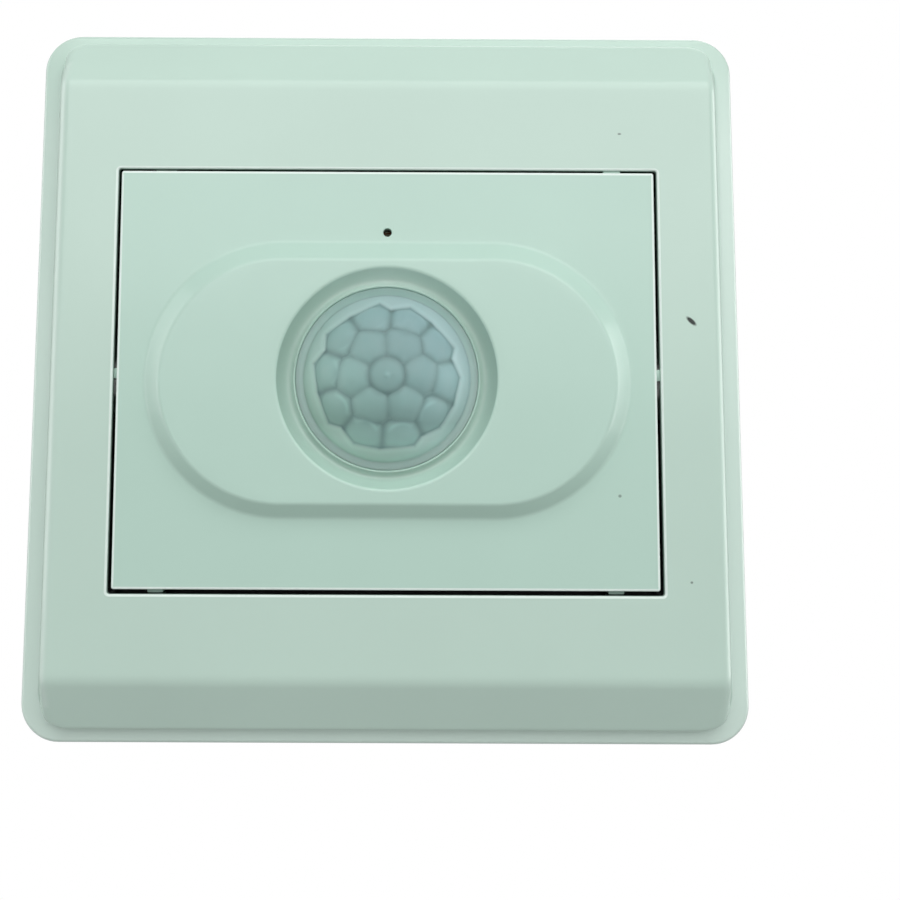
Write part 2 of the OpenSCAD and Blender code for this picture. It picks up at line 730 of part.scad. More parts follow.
module surge_disc() color("steelblue") on_wall() on_power_board() translate([surge_x, surge_y, 0]) {
    translate([-surge_t / 2, 0, 1.6 + surge_d / 2]) rotate([0, 90, 0])
        cylinder(r = surge_d / 2, h = surge_t);
    for (j = [-1, 1]) translate([0, j * surge_d / 3.4, 0]) rod(0.35, 0, 1.6 + surge_d / 2);
}

module fuse() color("saddlebrown") on_wall() on_power_board()
    translate([fuse_x, fuse_y, 0]) rod(fuse_d / 2, 0, fuse_h);

module rectifier_diodes() color("black") on_wall() on_power_board()
    for (i = [0 : 3]) translate([relay_x - 1.5 * diode_pitch + i * diode_pitch, diode_y, diode_d / 2])
        rotate([90, 0, 0]) cylinder(r = diode_d / 2, h = diode_l, center = true);

module dropper_resistors() color("lightblue") on_wall() on_power_board()
    for (i = [0, 1])
        translate([resistor_left, resistor_y - i * (resistor_d + 1), resistor_r])
            rotate([0, 90, 0]) cylinder(r = resistor_r, h = resistor_l);

module on_relay() on_wall() on_power_board() translate([relay_x, relay_y, 0]) children();

module relay_base() color("dimgray") on_relay()
    block(-relay_w / 2, relay_w / 2, -relay_d / 2, relay_d / 2, 0, relay_base_t);

module relay_cover() color("royalblue") on_relay() difference() {
    block(-relay_w / 2, relay_w / 2, -relay_d / 2, relay_d / 2, relay_base_t, relay_h);
    block(-relay_w / 2 + relay_wall, relay_w / 2 - relay_wall,
          -relay_d / 2 + relay_wall, relay_d / 2 - relay_wall, 0, relay_h - relay_wall);
}

module relay_iron() color("gray") on_relay() difference() {
    union() {
        block(upright_x - upright_t / 2, core_r, -iron_half, iron_half,
              relay_base_t, relay_base_t + iron_t);
        block(upright_x - upright_t / 2, upright_x + upright_t / 2, -iron_half, iron_half,
              relay_base_t, heel_z);
        rod(core_r, relay_base_t, core_top);
    }
    translate([upright_x, 0, heel_z]) rotate([90, 0, 0])
        cylinder(r = heel_r + run_fit, h = 2 * iron_half + 2, center = true);
}

module relay_bobbin() color("white") on_relay() difference() {
    union() {
        rod(bobbin_tube_r, relay_base_t + iron_t, core_top - 0.4);
        rod(bobbin_r, relay_base_t + iron_t, relay_base_t + iron_t + bobbin_flange_t);
        rod(bobbin_r, core_top - 0.4 - bobbin_flange_t, core_top - 0.4);
    }
    rod(core_r + run_fit, 0, core_top + 1);
}

module relay_winding() color("peru") on_relay() difference() {
    rod(winding_r, relay_base_t + iron_t + bobbin_flange_t, core_top - 0.4 - bobbin_flange_t);
    rod(bobbin_tube_r, 0, core_top + 1);
}

module relay_armature() color("gray") on_relay() {
    block(upright_x, armature_tip_x, -iron_half, iron_half,
          core_top + armature_gap, core_top + armature_gap + armature_t);
    translate([upright_x, 0, heel_z]) rotate([90, 0, 0])
        cylinder(r = heel_r, h = 2 * iron_half, center = true);
}

module relay_blade() color("peru") on_relay() {
    top = core_top + armature_gap + armature_t;
    block(upright_x + 2, contact_x + contact_r, -1.5, 1.5, top, top + blade_t);
    translate([contact_x, 0, 0]) rod(contact_r, rivet_low, top + blade_t / 2);
}

module relay_contact() color("peru") on_relay() translate([contact_x, 0, 0]) {
    block(-0.35, 0.35, -1.2, 1.2, relay_base_t, rivet_low - contact_stroke - 0.4);
    rod(contact_r, rivet_low - contact_stroke - 0.5, rivet_low - contact_stroke);
}

module terminal_pole(x) on_wall() translate([x, 0, 0]) difference() {
    block(-pole_w / 2, pole_w / 2, pole_y, pole_y + pole_d, pole_z, power_back_z);
    block(-cage_w / 2 - fit, cage_w / 2 + fit, chamber_y, chamber_y + chamber_d,
          chamber_z, power_back_z - pole_floor_t);
    translate([0, pole_y - 1, wire_z]) rotate([-90, 0, 0])
        cylinder(r = wire_hole_d / 2, h = entry_wall + 2);
    clamp_axis() {
        rod(clamp_head_d / 2 + fit, pole_z - 1, clamp_seat_z);
        rod(clamp_screw_d / 2 + run_fit, pole_z, chamber_z + 1);
    }
    block(-bar_w / 2 - run_fit, bar_w / 2 + run_fit, chamber_y + chamber_d - 1,
          chamber_y + chamber_d + bar_t + run_fit, bar_z, power_back_z + 1);
}

module clamp_axis() translate([0, chamber_y + chamber_d / 2, 0]) children();

module clamp_cage(x) on_wall() translate([x, 0, 0]) clamp_axis() difference() {
    block(-cage_w / 2, cage_w / 2, -cage_d / 2, cage_d / 2, cage_z, cage_top_z);
    block(-cage_w / 2 + cage_wall, cage_w / 2 - cage_wall, -cage_d, cage_d,
          cage_z + cage_nut_t, cage_top_z - cage_floor_t);
    rod(clamp_screw_d / 2 + run_fit, cage_z - 1, cage_z + cage_nut_t + 1);
}

module clamp_screw(x) on_wall() translate([x, 0, 0]) clamp_axis() difference() {
    union() {
        rod(clamp_head_d / 2, clamp_seat_z - clamp_head_h, clamp_seat_z);
        rod(clamp_screw_d / 2, clamp_seat_z - 0.5, bar_z - run_fit);
    }
    block(-clamp_head_d, clamp_head_d, -0.35, 0.35,
          clamp_seat_z - clamp_head_h - 1, clamp_seat_z - clamp_head_h + 0.8);
}

module line_pole() color("darkgreen") terminal_pole(pole_x[0]);

module neutral_pole() color("darkgreen") terminal_pole(pole_x[1]);

module load_pole() color("darkgreen") terminal_pole(pole_x[2]);

module terminal_contacts() color("gold") on_wall()
    for (x = pole_x) translate([x, 0, 0]) {
        block(-bar_w / 2, bar_w / 2, chamber_y + fit, chamber_y + chamber_d + bar_t,
              bar_z, bar_z + bar_t);
        block(-bar_w / 2, bar_w / 2, chamber_y + chamber_d, chamber_y + chamber_d + bar_t,
              bar_z, power_back_z);
    }

module line_cage() color("silver") clamp_cage(pole_x[0]);

module neutral_cage() color("silver") clamp_cage(pole_x[1]);

module load_cage() color("silver") clamp_cage(pole_x[2]);

module line_screw() color("silver") clamp_screw(pole_x[0]);

module neutral_screw() color("silver") clamp_screw(pole_x[1]);

module load_screw() color("silver") clamp_screw(pole_x[2]);

front_frame();
sensor_panel();
fresnel_lens();
lens_retainer();
base_plate();
rear_cover();
cover_screws();
sensor_board();
board_screws();
pir_can();
pir_window();
pir_leads();
light_sensor();
time_trimmer();
time_rotor();
lux_trimmer();
lux_rotor();
control_chip();
chip_leads();
signal_capacitors();
board_link();
power_board();
film_capacitor();
filter_capacitor();
surge_disc();
fuse();
rectifier_diodes();
dropper_resistors();
relay_base();
relay_cover();
relay_iron();
relay_bobbin();
relay_winding();
relay_armature();
relay_blade();
relay_contact();
line_pole();
neutral_pole();
load_pole();
terminal_contacts();
line_cage();
neutral_cage();
load_cage();
line_screw();
neutral_screw();
load_screw();
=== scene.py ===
"""Motion sensor light switch: the looks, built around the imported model.

Shapes are worked out in the plate's own millimetres, with x to the right, y up and z out of
the wall, and are turned into the model's frame (front towards -Y, metres) when they are made.
"""

import json
import math
from types import SimpleNamespace

import bmesh
import bpy
import numpy as np
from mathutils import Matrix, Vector


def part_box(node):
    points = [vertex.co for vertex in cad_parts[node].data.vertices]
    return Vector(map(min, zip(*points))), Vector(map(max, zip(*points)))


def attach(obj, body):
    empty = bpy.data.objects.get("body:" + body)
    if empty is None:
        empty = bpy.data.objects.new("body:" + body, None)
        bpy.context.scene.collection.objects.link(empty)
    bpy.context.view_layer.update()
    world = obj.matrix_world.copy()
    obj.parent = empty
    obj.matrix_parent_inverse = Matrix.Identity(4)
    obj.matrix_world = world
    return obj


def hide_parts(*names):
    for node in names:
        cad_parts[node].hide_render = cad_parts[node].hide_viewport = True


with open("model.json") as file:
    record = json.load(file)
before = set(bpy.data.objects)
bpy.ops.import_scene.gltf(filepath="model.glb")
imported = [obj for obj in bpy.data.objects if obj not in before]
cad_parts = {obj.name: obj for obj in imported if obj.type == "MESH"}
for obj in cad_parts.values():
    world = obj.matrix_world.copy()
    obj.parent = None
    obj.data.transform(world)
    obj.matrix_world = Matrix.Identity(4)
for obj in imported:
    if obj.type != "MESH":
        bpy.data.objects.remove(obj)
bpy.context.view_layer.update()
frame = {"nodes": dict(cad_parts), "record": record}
NODES = frame["nodes"]
scene = bpy.context.scene
MM = 0.001

# Sizes of the front frame
PLATE_HALF, PLATE_CORNER, BACK_EDGE = 43.0, 4.6, 0.3
RIM_H, RIM_FALL, RIM_EDGE, RIM_SLOPE = 3.6, 0.5, 0.5, 0.3
FACE_H = 8.6
BODY_HALF, BODY_TALL, BODY_MID, BODY_CORNER = 40.5, 41.0, 0.15, 4.0
FOOT_RISE, WALL_LEAST, WALL_ROUND = 0.2, 0.35, (0.05, 0.4)
SHOULDER_RUN, SHOULDER_DROP, SHOULDER_BEND = 6.2, 3.4, 3.2
SIDE_RUN, SIDE_DROP, SIDE_BEND = 1.4, 4.75, 1.5
SHELL_T, HOLLOW_HALF, HOLLOW_CORNER, HOLLOW_LIP = 1.8, 39.5, 1.1, 0.2
HOLLOW_SIDE, HOLLOW_END = 0.9, 0.3
OPEN_X, OPEN_Y, OPEN_R, OPEN_AT, OPEN_TAPER = 31.75, 24.72, 0.3, -0.26, 0.1
SKIRT_X, SKIRT_Y, SKIRT_R, SEAT_Z, SEAT_EDGE = 32.95, 26.0, 0.6, 4.3, 0.1
PEG_AT, PEG_R, PEG_FOOT_R, PEG_TIP_Z, PEG_STOP_Z = 33.5, 1.6, 2.6, 0.5, 4.0
PEG_CHAMFER, PEG_POINT = 0.5, 0.6
RELIEF_AT, RELIEF_R, RELIEF_TOP = 30.15, 4.5, 5.4
# Radius of the edges on both sides of the gap, and about how tall the insert is
EDGE_R, INSERT_H = 0.18, 50.0
# How far below the face the painted shade in the gap starts, and over what depth it fades in
GAP_FROM, GAP_FADE = 0.15, 0.5
# Points above this are on the front's outer side
FRONT_Z = 8.0

# Sizes of the sensor panel
PANEL_X, PANEL_Y, PANEL_R, PANEL_AT, PANEL_TAPER = 31.25, 24.3, 0.25, -0.13, 0.22
PANEL_BACK, PANEL_WALL, FLANGE_Z, FLANGE_R, EASE = 6.6, 1.4, 3.1, 0.4, 0.15
# Nibs in the gap: x, y, half their length, depth below the face
NIB_HALF, NIB_DEEP = 0.42, 3.0
NIBS = ((-26.4, 24.2, 1.2, 0.9), (26.6, 24.2, 1.0, 0.3), (-26.45, -24.5, 0.9, 1.0), (26.45, -24.5, 0.9, 1.0),
        (-31.4, 0.2, 0.6, 0.5), (31.4, 0.2, 0.65, 0.25))
PAD_L, PAD_R, PAD_RISE, PAD_BEVEL = 12.2, 16.0, 1.8, 2.0
PAD_FOOT_AT, PAD_CROWN_AT, LENS_AT = (0.1, -0.33), (0.1, -0.65), (0.0, -0.3)
PAD_TOP = FACE_H + PAD_RISE
RECESS_R, GROOVE_R, GROOVE_Z, LIP_Z = 12.65, 11.65, 7.9, 8.95
BORE_R, COLLAR_IN, COLLAR_OUT, COLLAR_Z = 10.6, 12.4, 13.8, 4.2
PINHOLE_Y, PINHOLE_R, PINHOLE_FLARE = 16.88, 0.5, 0.07

# Sizes of the lens
LENS_R, LENS_FOOT_R, LENS_FOOT_Z = 10.59, 12.3, 5.4
DOME_BASE_R, DOME_Z, DOME_RISE, LENS_INNER_R, LENS_T = 9.7, 8.9, 6.0, 8.5, 0.9
RING_Z, RING_EDGE = DOME_Z - 0.08, 0.15
DOME_R = (DOME_BASE_R ** 2 + DOME_RISE ** 2) / (2 * DOME_RISE)
DOME_C = DOME_Z + DOME_RISE - DOME_R


def to_row(p):
    """Plate millimetres to the model's metres."""
    return np.stack([p[:, 0], -p[:, 2], p[:, 1]], axis=1) * MM


def add_object(name, data):
    obj = bpy.data.objects.new(name, data)
    scene.collection.objects.link(obj)
    return obj


def make_object(name, points, faces, merge=False):
    """A smooth mesh object from plate millimetres. Points that meet are joined if asked."""
    mesh = bpy.data.meshes.new(name)
    mesh.from_pydata(to_row(points).tolist(), [], faces)
    bm = bmesh.new()
    bm.from_mesh(mesh)
    if merge:
        bmesh.ops.remove_doubles(bm, verts=bm.verts, dist=0.000001)
    bmesh.ops.recalc_face_normals(bm, faces=bm.faces)
    bm.to_mesh(mesh)
    bm.free()
    mesh.shade_smooth()
    return add_object(name, mesh)


def quads(n_loops, n, wrap):
    """Quads that join loops of n points one after another, and the last to the first if they wrap."""
    faces = []
    for i in range(n_loops if wrap else n_loops - 1):
        a, b = i * n, ((i + 1) % n_loops) * n
        faces += [(a + j, a + (j + 1) % n, b + (j + 1) % n, b + j) for j in range(n)]
    return faces


def with_height(xy, z):
    """Points from plan places and one height, or a height each."""
    return np.column_stack([xy, np.broadcast_to(z, (len(xy),))])


def headings(a):
    """Unit steps in plan in the directions a."""
    return np.stack([np.cos(a), np.sin(a)], axis=1)


def rounded(a, b, c, n):
    """n + 1 points along a rounded corner from a to c, with the sharp corner at b."""
    t = np.linspace(0, 1, n + 1)[:, None]
    return (1 - t) ** 2 * a + 2 * t * (1 - t) * b + t ** 2 * c


def unit(x):
    """x held between 0 and 1."""
    return np.clip(x, 0, 1)


def smooth(t):
    """A share from 0 to 1 that starts and ends gently."""
    return t * t * (3 - 2 * t)


def hump(x, width):
    """1 at 0, fading over the width to either side."""
    return np.exp(-(x / width) ** 2)


def join_parts(parts):
    """Points and faces of several closed shapes in one list."""
    points, faces, start = [], [], 0
    for p, f in parts:
        points.append(np.asarray(p, float))
        faces += [tuple(i + start for i in face) for face in f]
        start += len(p)
    return np.vstack(points), faces


def turned(profile, x, y, n=40):
    """A closed solid of revolution about z through (x, y). The profile runs from axis to axis."""
    ring = headings(np.linspace(0, 2 * math.pi, n, endpoint=False))
    loops = [with_height(ring * r + [x, y], z) for r, z in profile[1:-1]]
    points = np.vstack(loops + [[(x, y, profile[0][1])], [(x, y, profile[-1][1])]])
    faces = quads(len(loops), n, False)
    low, high, last = len(points) - 2, len(points) - 1, (len(loops) - 1) * n
    faces += [(low, (j + 1) % n, j) for j in range(n)]
    faces += [(high, last + j, last + (j + 1) % n) for j in range(n)]
    return points, faces


def soft_block(x0, x1, y0, y1, z0, z1, r):
    """A block with its edges cut back by r."""
    loops = []
    for z, cut in ((z0, r), (z0 + r, 0), (z1 - r, 0), (z1, r)):
        xa, xb, ya, yb = x0 + cut, x1 - cut, y0 + cut, y1 - cut
        plan = [(xb, ya + r), (xb, yb - r), (xb - r, yb), (xa + r, yb),
                (xa, yb - r), (xa, ya + r), (xa + r, ya), (xb - r, ya)]
        loops.append(with_height(plan, z))
    faces = quads(len(loops), 8, False) + [tuple(range(7, -1, -1)), tuple(range(24, 32))]
    return np.vstack(loops), faces


def cut_with(obj, cutters):
    """Takes the cutters out of obj for good."""
    for points, faces in cutters:
        tool = make_object("cutter", points, faces)
        cut = obj.modifiers.new("cut", "BOOLEAN")
        cut.operation, cut.solver, cut.object = "DIFFERENCE", "EXACT", tool
        shape = bpy.data.meshes.new_from_object(obj.evaluated_get(bpy.context.evaluated_depsgraph_get()))
        obj.modifiers.clear()
        obj.data = shape
        bpy.data.objects.remove(tool)
    obj.data.shade_smooth()


def set_points(obj, name, values):
    """Stores one number for each point of obj's mesh."""
    layer = obj.data.attributes.new(name, "FLOAT", "POINT")
    layer.data.foreach_set("value", np.asarray(values, np.float32))


def plate_points(obj):
    """The places of obj's points in plate millimetres."""
    co = np.zeros(len(obj.data.vertices) * 3, np.float32)
    obj.data.vertices.foreach_get("co", co)
    co = co.reshape(-1, 3) / MM
    return np.stack([co[:, 0], co[:, 2], -co[:, 1]], axis=1)


def finish_piece(obj, body, material, nodes=(), sharp=40):
    """Sharpens real edges, keeps flats flat, and puts the piece on its body."""
    obj.data.set_sharp_from_angle(angle=math.radians(sharp))
    flat = obj.modifiers.new("even_normals", "WEIGHTED_NORMAL")
    flat.keep_sharp, flat.weight = True, 60
    obj.data.materials.clear()
    obj.data.materials.append(material)
    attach(obj, body)
    if nodes:
        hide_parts(*nodes)


# Materials

# Colours of the painted highlights and of the specks, of the painted shade in the gap, and the share of
# colour that a painted shadow keeps
HIGHLIGHT_MINT, SPECK_DARK = (0.86, 0.97, 0.92), (0.02, 0.03, 0.025)
GAP_SHADE, FOOT_SHADE = (0.012, 0.018, 0.015), 0.74
# Noise scales, from broad clouds to fine grain
PLASTIC_CLOUD, PLASTIC_GLOSS, PLASTIC_GRAIN = 45.0, 160.0, 1400.0
METAL_CLOUD, METAL_GLOSS, METAL_PITS = 350.0, 700.0, 3600.0
NOISE_LOW, NOISE_HIGH = 0.25, 0.75
TRACK_PITCH, TRACK_SHARE = 1.27, 0.4


def new_material(name, settings=()):
    """A material whose shader has these settings."""
    material = bpy.data.materials.new(name)
    material.use_nodes = True
    for key, value in settings:
        material.node_tree.nodes["Principled BSDF"].inputs[key].default_value = value
    return material


def node(home, kind, **values):
    """A node in a tree, or beside a socket, with its settings and inputs."""
    tree = home.id_data
    made = tree.nodes.new(kind)
    for key, value in values.items():
        if isinstance(value, bpy.types.NodeSocket):
            tree.links.new(value, made.inputs[key])
        elif key in made.inputs:
            made.inputs[key].default_value = value
        else:
            setattr(made, key, value)
    return made


def feed(key, socket):
    """Links a socket to an input of its material's shader."""
    tree = socket.id_data
    tree.links.new(socket, tree.nodes["Principled BSDF"].inputs[key])


def place_on(material):
    return node(material.node_tree, "ShaderNodeTexCoord").outputs["Object"]


def noise(place, scale, detail=3.0):
    made = node(place, "ShaderNodeTexNoise", Vector=place, Scale=scale, Detail=detail, Roughness=0.55)
    return made.outputs["Fac"]


def ramp(value, low, high):
    """A colour that goes from low to high over the middle of value's range."""
    made = node(value, "ShaderNodeValToRGB", Fac=value)
    for step, position, colour in zip(made.color_ramp.elements, (0.3, 0.7), (low, high)):
        step.position, step.color = position, (*colour, 1)
    return made.outputs["Color"]


def graded(value, start, end, low=0.0, high=1.0):
    """Goes from low to high as value goes from start to end."""
    limits = {"From Min": start, "From Max": end, "To Min": low, "To Max": high}
    return node(value, "ShaderNodeMapRange", Value=value, **limits).outputs["Result"]


def stored(home, name, output="Fac"):
    """A number or colour kept at the mesh's points."""
    return node(home, "ShaderNodeAttribute", attribute_name=name).outputs[output]


def bump(height, strength, distance):
    made = node(height, "ShaderNodeBump", Height=height, Strength=strength, Distance=distance)
    feed("Normal", made.outputs["Normal"])


def mixed(factor, a, b):
    """Colour a where factor is 0 and the fixed colour b where it is 1."""
    return node(a, "ShaderNodeMix", data_type="RGBA", Factor=factor, A=a, B=(*b, 1)).outputs["Result"]


def shade(colour, by):
    return tuple(min(1.0, c * by) for c in colour)


def speck(place, at, size, turn, depth):
    """depth inside a small oval mark on the plate's face, 0 outside. Sizes are in millimetres."""
    moved = node(place, "ShaderNodeMapping", vector_type="TEXTURE", Vector=place,
                 Location=(at[0] * MM, -FACE_H * MM, at[1] * MM), Rotation=(0, math.radians(turn), 0),
                 Scale=(size[0] * MM, MM, size[1] * MM))
    far = node(place, "ShaderNodeVectorMath", operation="LENGTH", Vector=moved.outputs["Vector"])
    return graded(far.outputs["Value"], 1.2, 0.7, 0.0, depth)


def moulded(name, colour, rough=(0.3, 0.4), grain_depth=0.00002, vary=0.03, gap_shade=None, marks=()):
    """Moulded plastic: faint cloudiness, uneven gloss and a fine grain."""
    material = new_material(name)
    place = place_on(material)
    tint = ramp(noise(place, PLASTIC_CLOUD), shade(colour, 1 - vary), shade(colour, 1 + vary))
    # On the front pieces: painted highlights on edges, painted shadow at feet, specks, and painted shade in
    # the gap
    if gap_shade:
        tint = mixed(stored(place, "edge"), tint, HIGHLIGHT_MINT)
        tint = mixed(stored(place, "foot"), tint, shade(colour, FOOT_SHADE))
        for mark in marks:
            tint = mixed(speck(place, *mark), tint, SPECK_DARK)
        tint = mixed(stored(place, "gap"), tint, gap_shade)
    feed("Base Color", tint)
    feed("Roughness", graded(noise(place, PLASTIC_GLOSS), NOISE_LOW, NOISE_HIGH, *rough))
    bump(noise(place, PLASTIC_GRAIN, 2.0), 0.25, grain_depth)
    return material


def metal(name, colour, rough=(0.25, 0.42)):
    """Plated metal: clouded gloss with small pits."""
    material = new_material(name, [("Metallic", 1.0)])
    place = place_on(material)
    feed("Base Color", ramp(noise(place, METAL_CLOUD), shade(colour, 0.86), shade(colour, 1.06)))
    feed("Roughness", graded(noise(place, METAL_GLOSS), NOISE_LOW, NOISE_HIGH, *rough))
    bump(noise(place, METAL_PITS), 0.2, 0.00002)
    return material


def along(place, axis):
    """One part, X, Y or Z, of a place or direction."""
    return node(place, "ShaderNodeSeparateXYZ", Vector=place).outputs[axis]


def sums(operation, a, b=0.0):
    """Works on the socket a and on b, a socket or a number."""
    made = node(a, "ShaderNodeMath", operation=operation, Value=a)
    if isinstance(b, bpy.types.NodeSocket):
        a.id_data.links.new(b, made.inputs[1])
    else:
        made.inputs[1].default_value = b
    return made.outputs["Value"]


def striped(name, axis, low, high, colours, rough=(0.3, 0.4)):
    """A moulded body with even bands of colour along an axis, from low to high millimetres."""
    material = moulded(name, colours[0], rough)
    share = graded(along(place_on(material), axis), low * MM, high * MM)
    made = node(share, "ShaderNodeValToRGB", Fac=share)
    steps = made.color_ramp
    steps.interpolation = "CONSTANT"
    for k, colour in enumerate(colours):
        step = steps.elements[k] if k < 2 else steps.elements.new(k / len(colours))
        step.position, step.color = k / len(colours), (*colour, 1)
    feed("Base Color", made.outputs["Color"])
    return material


def repaint(material, mask, colour):
    """Lays a fixed colour over a material where the mask is 1."""
    under = material.node_tree.nodes["Principled BSDF"].inputs["Base Color"].links[0].from_socket
    feed("Base Color", mixed(mask, under, colour))
    return material


def facing(material, axis, above):
    """1 where the surface faces along an axis."""
    normal = node(material.node_tree, "ShaderNodeTexCoord").outputs["Normal"]
    return sums("GREATER_THAN", along(normal, axis), above)


def circuit_board():
    """Solder resist over tracks that run across in some places and up in others."""
    material = moulded("solder_resist", (0.016, 0.105, 0.045), rough=(0.25, 0.38))
    place = place_on(material)
    where = noise(place, 130.0, 0.0)
    half_pitch = TRACK_PITCH * MM / 2

    def tracks(axis, side, level):
        drawn = sums("LESS_THAN", sums("PINGPONG", along(place, axis), half_pitch), TRACK_SHARE * half_pitch)
        return sums("MULTIPLY", drawn, sums(side, where, level))

    both = sums("ADD", tracks("Z", "GREATER_THAN", 0.54), tracks("X", "LESS_THAN", 0.46))
    return repaint(material, both, (0.03, 0.19, 0.075))


def capacitor_sleeve():
    """Dark sleeve with a pale stripe down one side and bare metal on top."""
    material = moulded("sleeve", (0.010, 0.014, 0.06), rough=(0.2, 0.3))
    repaint(material, facing(material, "X", 0.93), (0.50, 0.52, 0.55))
    return repaint(material, facing(material, "Y", 0.9), (0.58, 0.58, 0.57))


def resistors():
    coat, brown, black = (0.18, 0.36, 0.46), (0.21, 0.07, 0.02), (0.02, 0.02, 0.02)
    red, gold = (0.42, 0.03, 0.02), (0.60, 0.38, 0.10)
    bands = (coat, coat, brown, coat, black, coat, red, coat, gold, coat, coat)
    return striped("resistor_coat", "X", -3.2, 5.8, bands)


def diodes():
    black, grey = (0.012, 0.012, 0.013), (0.5, 0.5, 0.5)
    return striped("diode_body", "Z", -3.1, 2.1, (*[black] * 5, grey, black), rough=(0.4, 0.55))


def winding():
    """Fine enamelled wire, turn beside turn."""
    material = metal("enamelled_wire", (0.62, 0.24, 0.09), rough=(0.22, 0.34))
    half_turn = 0.15 * MM
    turns = sums("PINGPONG", along(place_on(material), "Y"), half_turn)
    bump(sums("DIVIDE", turns, half_turn), 0.8, 0.00006)
    return material


def light_cell():
    """Glazed ceramic disc with a red track to and fro across its face."""
    material = moulded("light_cell", (0.70, 0.58, 0.38), rough=(0.18, 0.28))
    place = place_on(material)
    low, high = np.array(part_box("light_sensor"))
    middle, disc_r = (low + high) / 2, (high[0] - low[0]) / 2
    sway, half_turn = 0.62 * disc_r, 0.42 * MM
    z = sums("SUBTRACT", along(place, "Z"), float(middle[2]))
    x = along(place, "X")
    swing = sums("PINGPONG", sums("ADD", z, 20 * half_turn), half_turn)
    track = sums("SUBTRACT", sums("MULTIPLY", swing, 2 * sway / half_turn), sway)
    near = sums("LESS_THAN", sums("ABSOLUTE", sums("SUBTRACT", x, track)), 0.36 * sway)
    inside = sums("LESS_THAN", sums("ABSOLUTE", z), 0.7 * disc_r)
    on_face = sums("LESS_THAN", along(place, "Y"), float(low[1]) + 0.2 * MM)
    mask = sums("MULTIPLY", sums("MULTIPLY", near, inside), on_face)
    return repaint(material, mask, (0.50, 0.10, 0.025))


def front_plastic(name, colour, marks):
    """Glossy plastic with painted highlights on its edges, painted shade in the gap and a few specks."""
    return moulded(name, colour, (0.16, 0.2), vary=0.015, gap_shade=GAP_SHADE, marks=marks)


def milky():
    """The lens's soft, milky plastic, in the colours kept at its points, with their painted light and shade.
    """
    settings = (("Roughness", 0.48), ("Specular IOR Level", 0.35), ("Subsurface Weight", 0.8),
                ("Subsurface Scale", 0.0016), ("Subsurface Radius", (0.9, 1.0, 1.0)))
    material = new_material("lens_plastic", settings)
    feed("Base Color", stored(material.node_tree, "tint", "Color"))
    return material


FRAME_MINT = (0.572, 0.748, 0.658)
PANEL_MINT = (0.53, 0.735, 0.64)
# Specks: place, half sizes, turn in degrees, how dark
FRAME_MARKS = (((35.5, 6.55), (0.72, 0.27), 42, 1.0), ((27.5, 28.9), (0.22, 0.12), 0, 0.6),
               ((34.8, -23.4), (0.16, 0.14), 0, 0.6))
PANEL_MARKS = (((26.8, -13.7), (0.2, 0.18), 0, 0.5),)
frame_plastic = front_plastic("frame_plastic", FRAME_MINT, FRAME_MARKS)
panel_plastic = front_plastic("panel_plastic", PANEL_MINT, PANEL_MARKS)
base_plastic = moulded("base_plastic", (0.63, 0.72, 0.66), rough=(0.42, 0.55), grain_depth=0.00004)
lens_plastic = milky()

NODE_MATERIALS = {
    "front_plastic": frame_plastic,
    "lens_plastic": lens_plastic,
    "base_plastic": base_plastic,
    "steel": metal("zinc", (0.62, 0.62, 0.60)),
    "tin": metal("tin", (0.70, 0.69, 0.66), rough=(0.2, 0.32)),
    "iron": metal("nickel", (0.46, 0.45, 0.43)),
    "board": circuit_board(),
    "filter": moulded("filter_window", (0.018, 0.017, 0.024), rough=(0.12, 0.2)),
    "gold_pin": metal("gold", (0.80, 0.58, 0.24), rough=(0.2, 0.3)),
    "ceramic": light_cell(),
    "blue_plastic": moulded("blue_plastic", (0.015, 0.07, 0.33)),
    "rotor_plastic": moulded("rotor_plastic", (0.80, 0.76, 0.66)),
    "black_plastic": moulded("black_plastic", (0.012, 0.012, 0.013), rough=(0.4, 0.55)),
    "sleeve": capacitor_sleeve(),
    "film_case": moulded("film_case", (0.62, 0.33, 0.03)),
    "fuse_case": moulded("fuse_case", (0.10, 0.03, 0.012)),
    "resistor_coat": resistors(),
    "copper": metal("copper", (0.78, 0.40, 0.22)),
    "terminal_plastic": moulded("terminal_plastic", (0.02, 0.17, 0.06), rough=(0.35, 0.48)),
    "brass": metal("brass", (0.72, 0.50, 0.20)),
}

OWN_MATERIALS = {"relay_winding": winding(), "rectifier_diodes": diodes()}

# Nodes that keep their own shape get their finish and eased edges

POLES = ("line", "neutral", "load")
EASED_LEAST = 0.06
EASED = {"base_plate": 0.25, "rear_cover": 0.5, "cover_screws": 0.12, "pir_can": 0.2,
         **{pole + "_pole": 0.15 for pole in POLES}, "time_rotor": 0.08, "lux_rotor": 0.08}


def ease_edges(obj, width):
    """Rounds the sharp edges of a node by width millimetres and evens out its shading."""
    join = obj.modifiers.new("join", "WELD")
    join.merge_threshold = 0.000002
    flat = obj.modifiers.new("flats", "DECIMATE")
    flat.decimate_type, flat.angle_limit = "DISSOLVE", math.radians(0.5)
    edge = obj.modifiers.new("eased", "BEVEL")
    edge.width, edge.segments, edge.limit_method = width * MM, 2, "ANGLE"
    edge.angle_limit, edge.harden_normals = math.radians(38), False
    even = obj.modifiers.new("even_normals", "WEIGHTED_NORMAL")
    even.keep_sharp, even.weight = True, 60
    obj.data.shade_smooth()


for part in frame["record"]["subparts"]:
    obj = NODES.get(part.get("node"))
    if obj is None:
        continue
    obj.data.materials.clear()
    obj.data.materials.append(OWN_MATERIALS.get(obj.name, NODE_MATERIALS[part["material_slot"]]))
    ease_edges(obj, EASED.get(obj.name, EASED_LEAST))


# Front frame

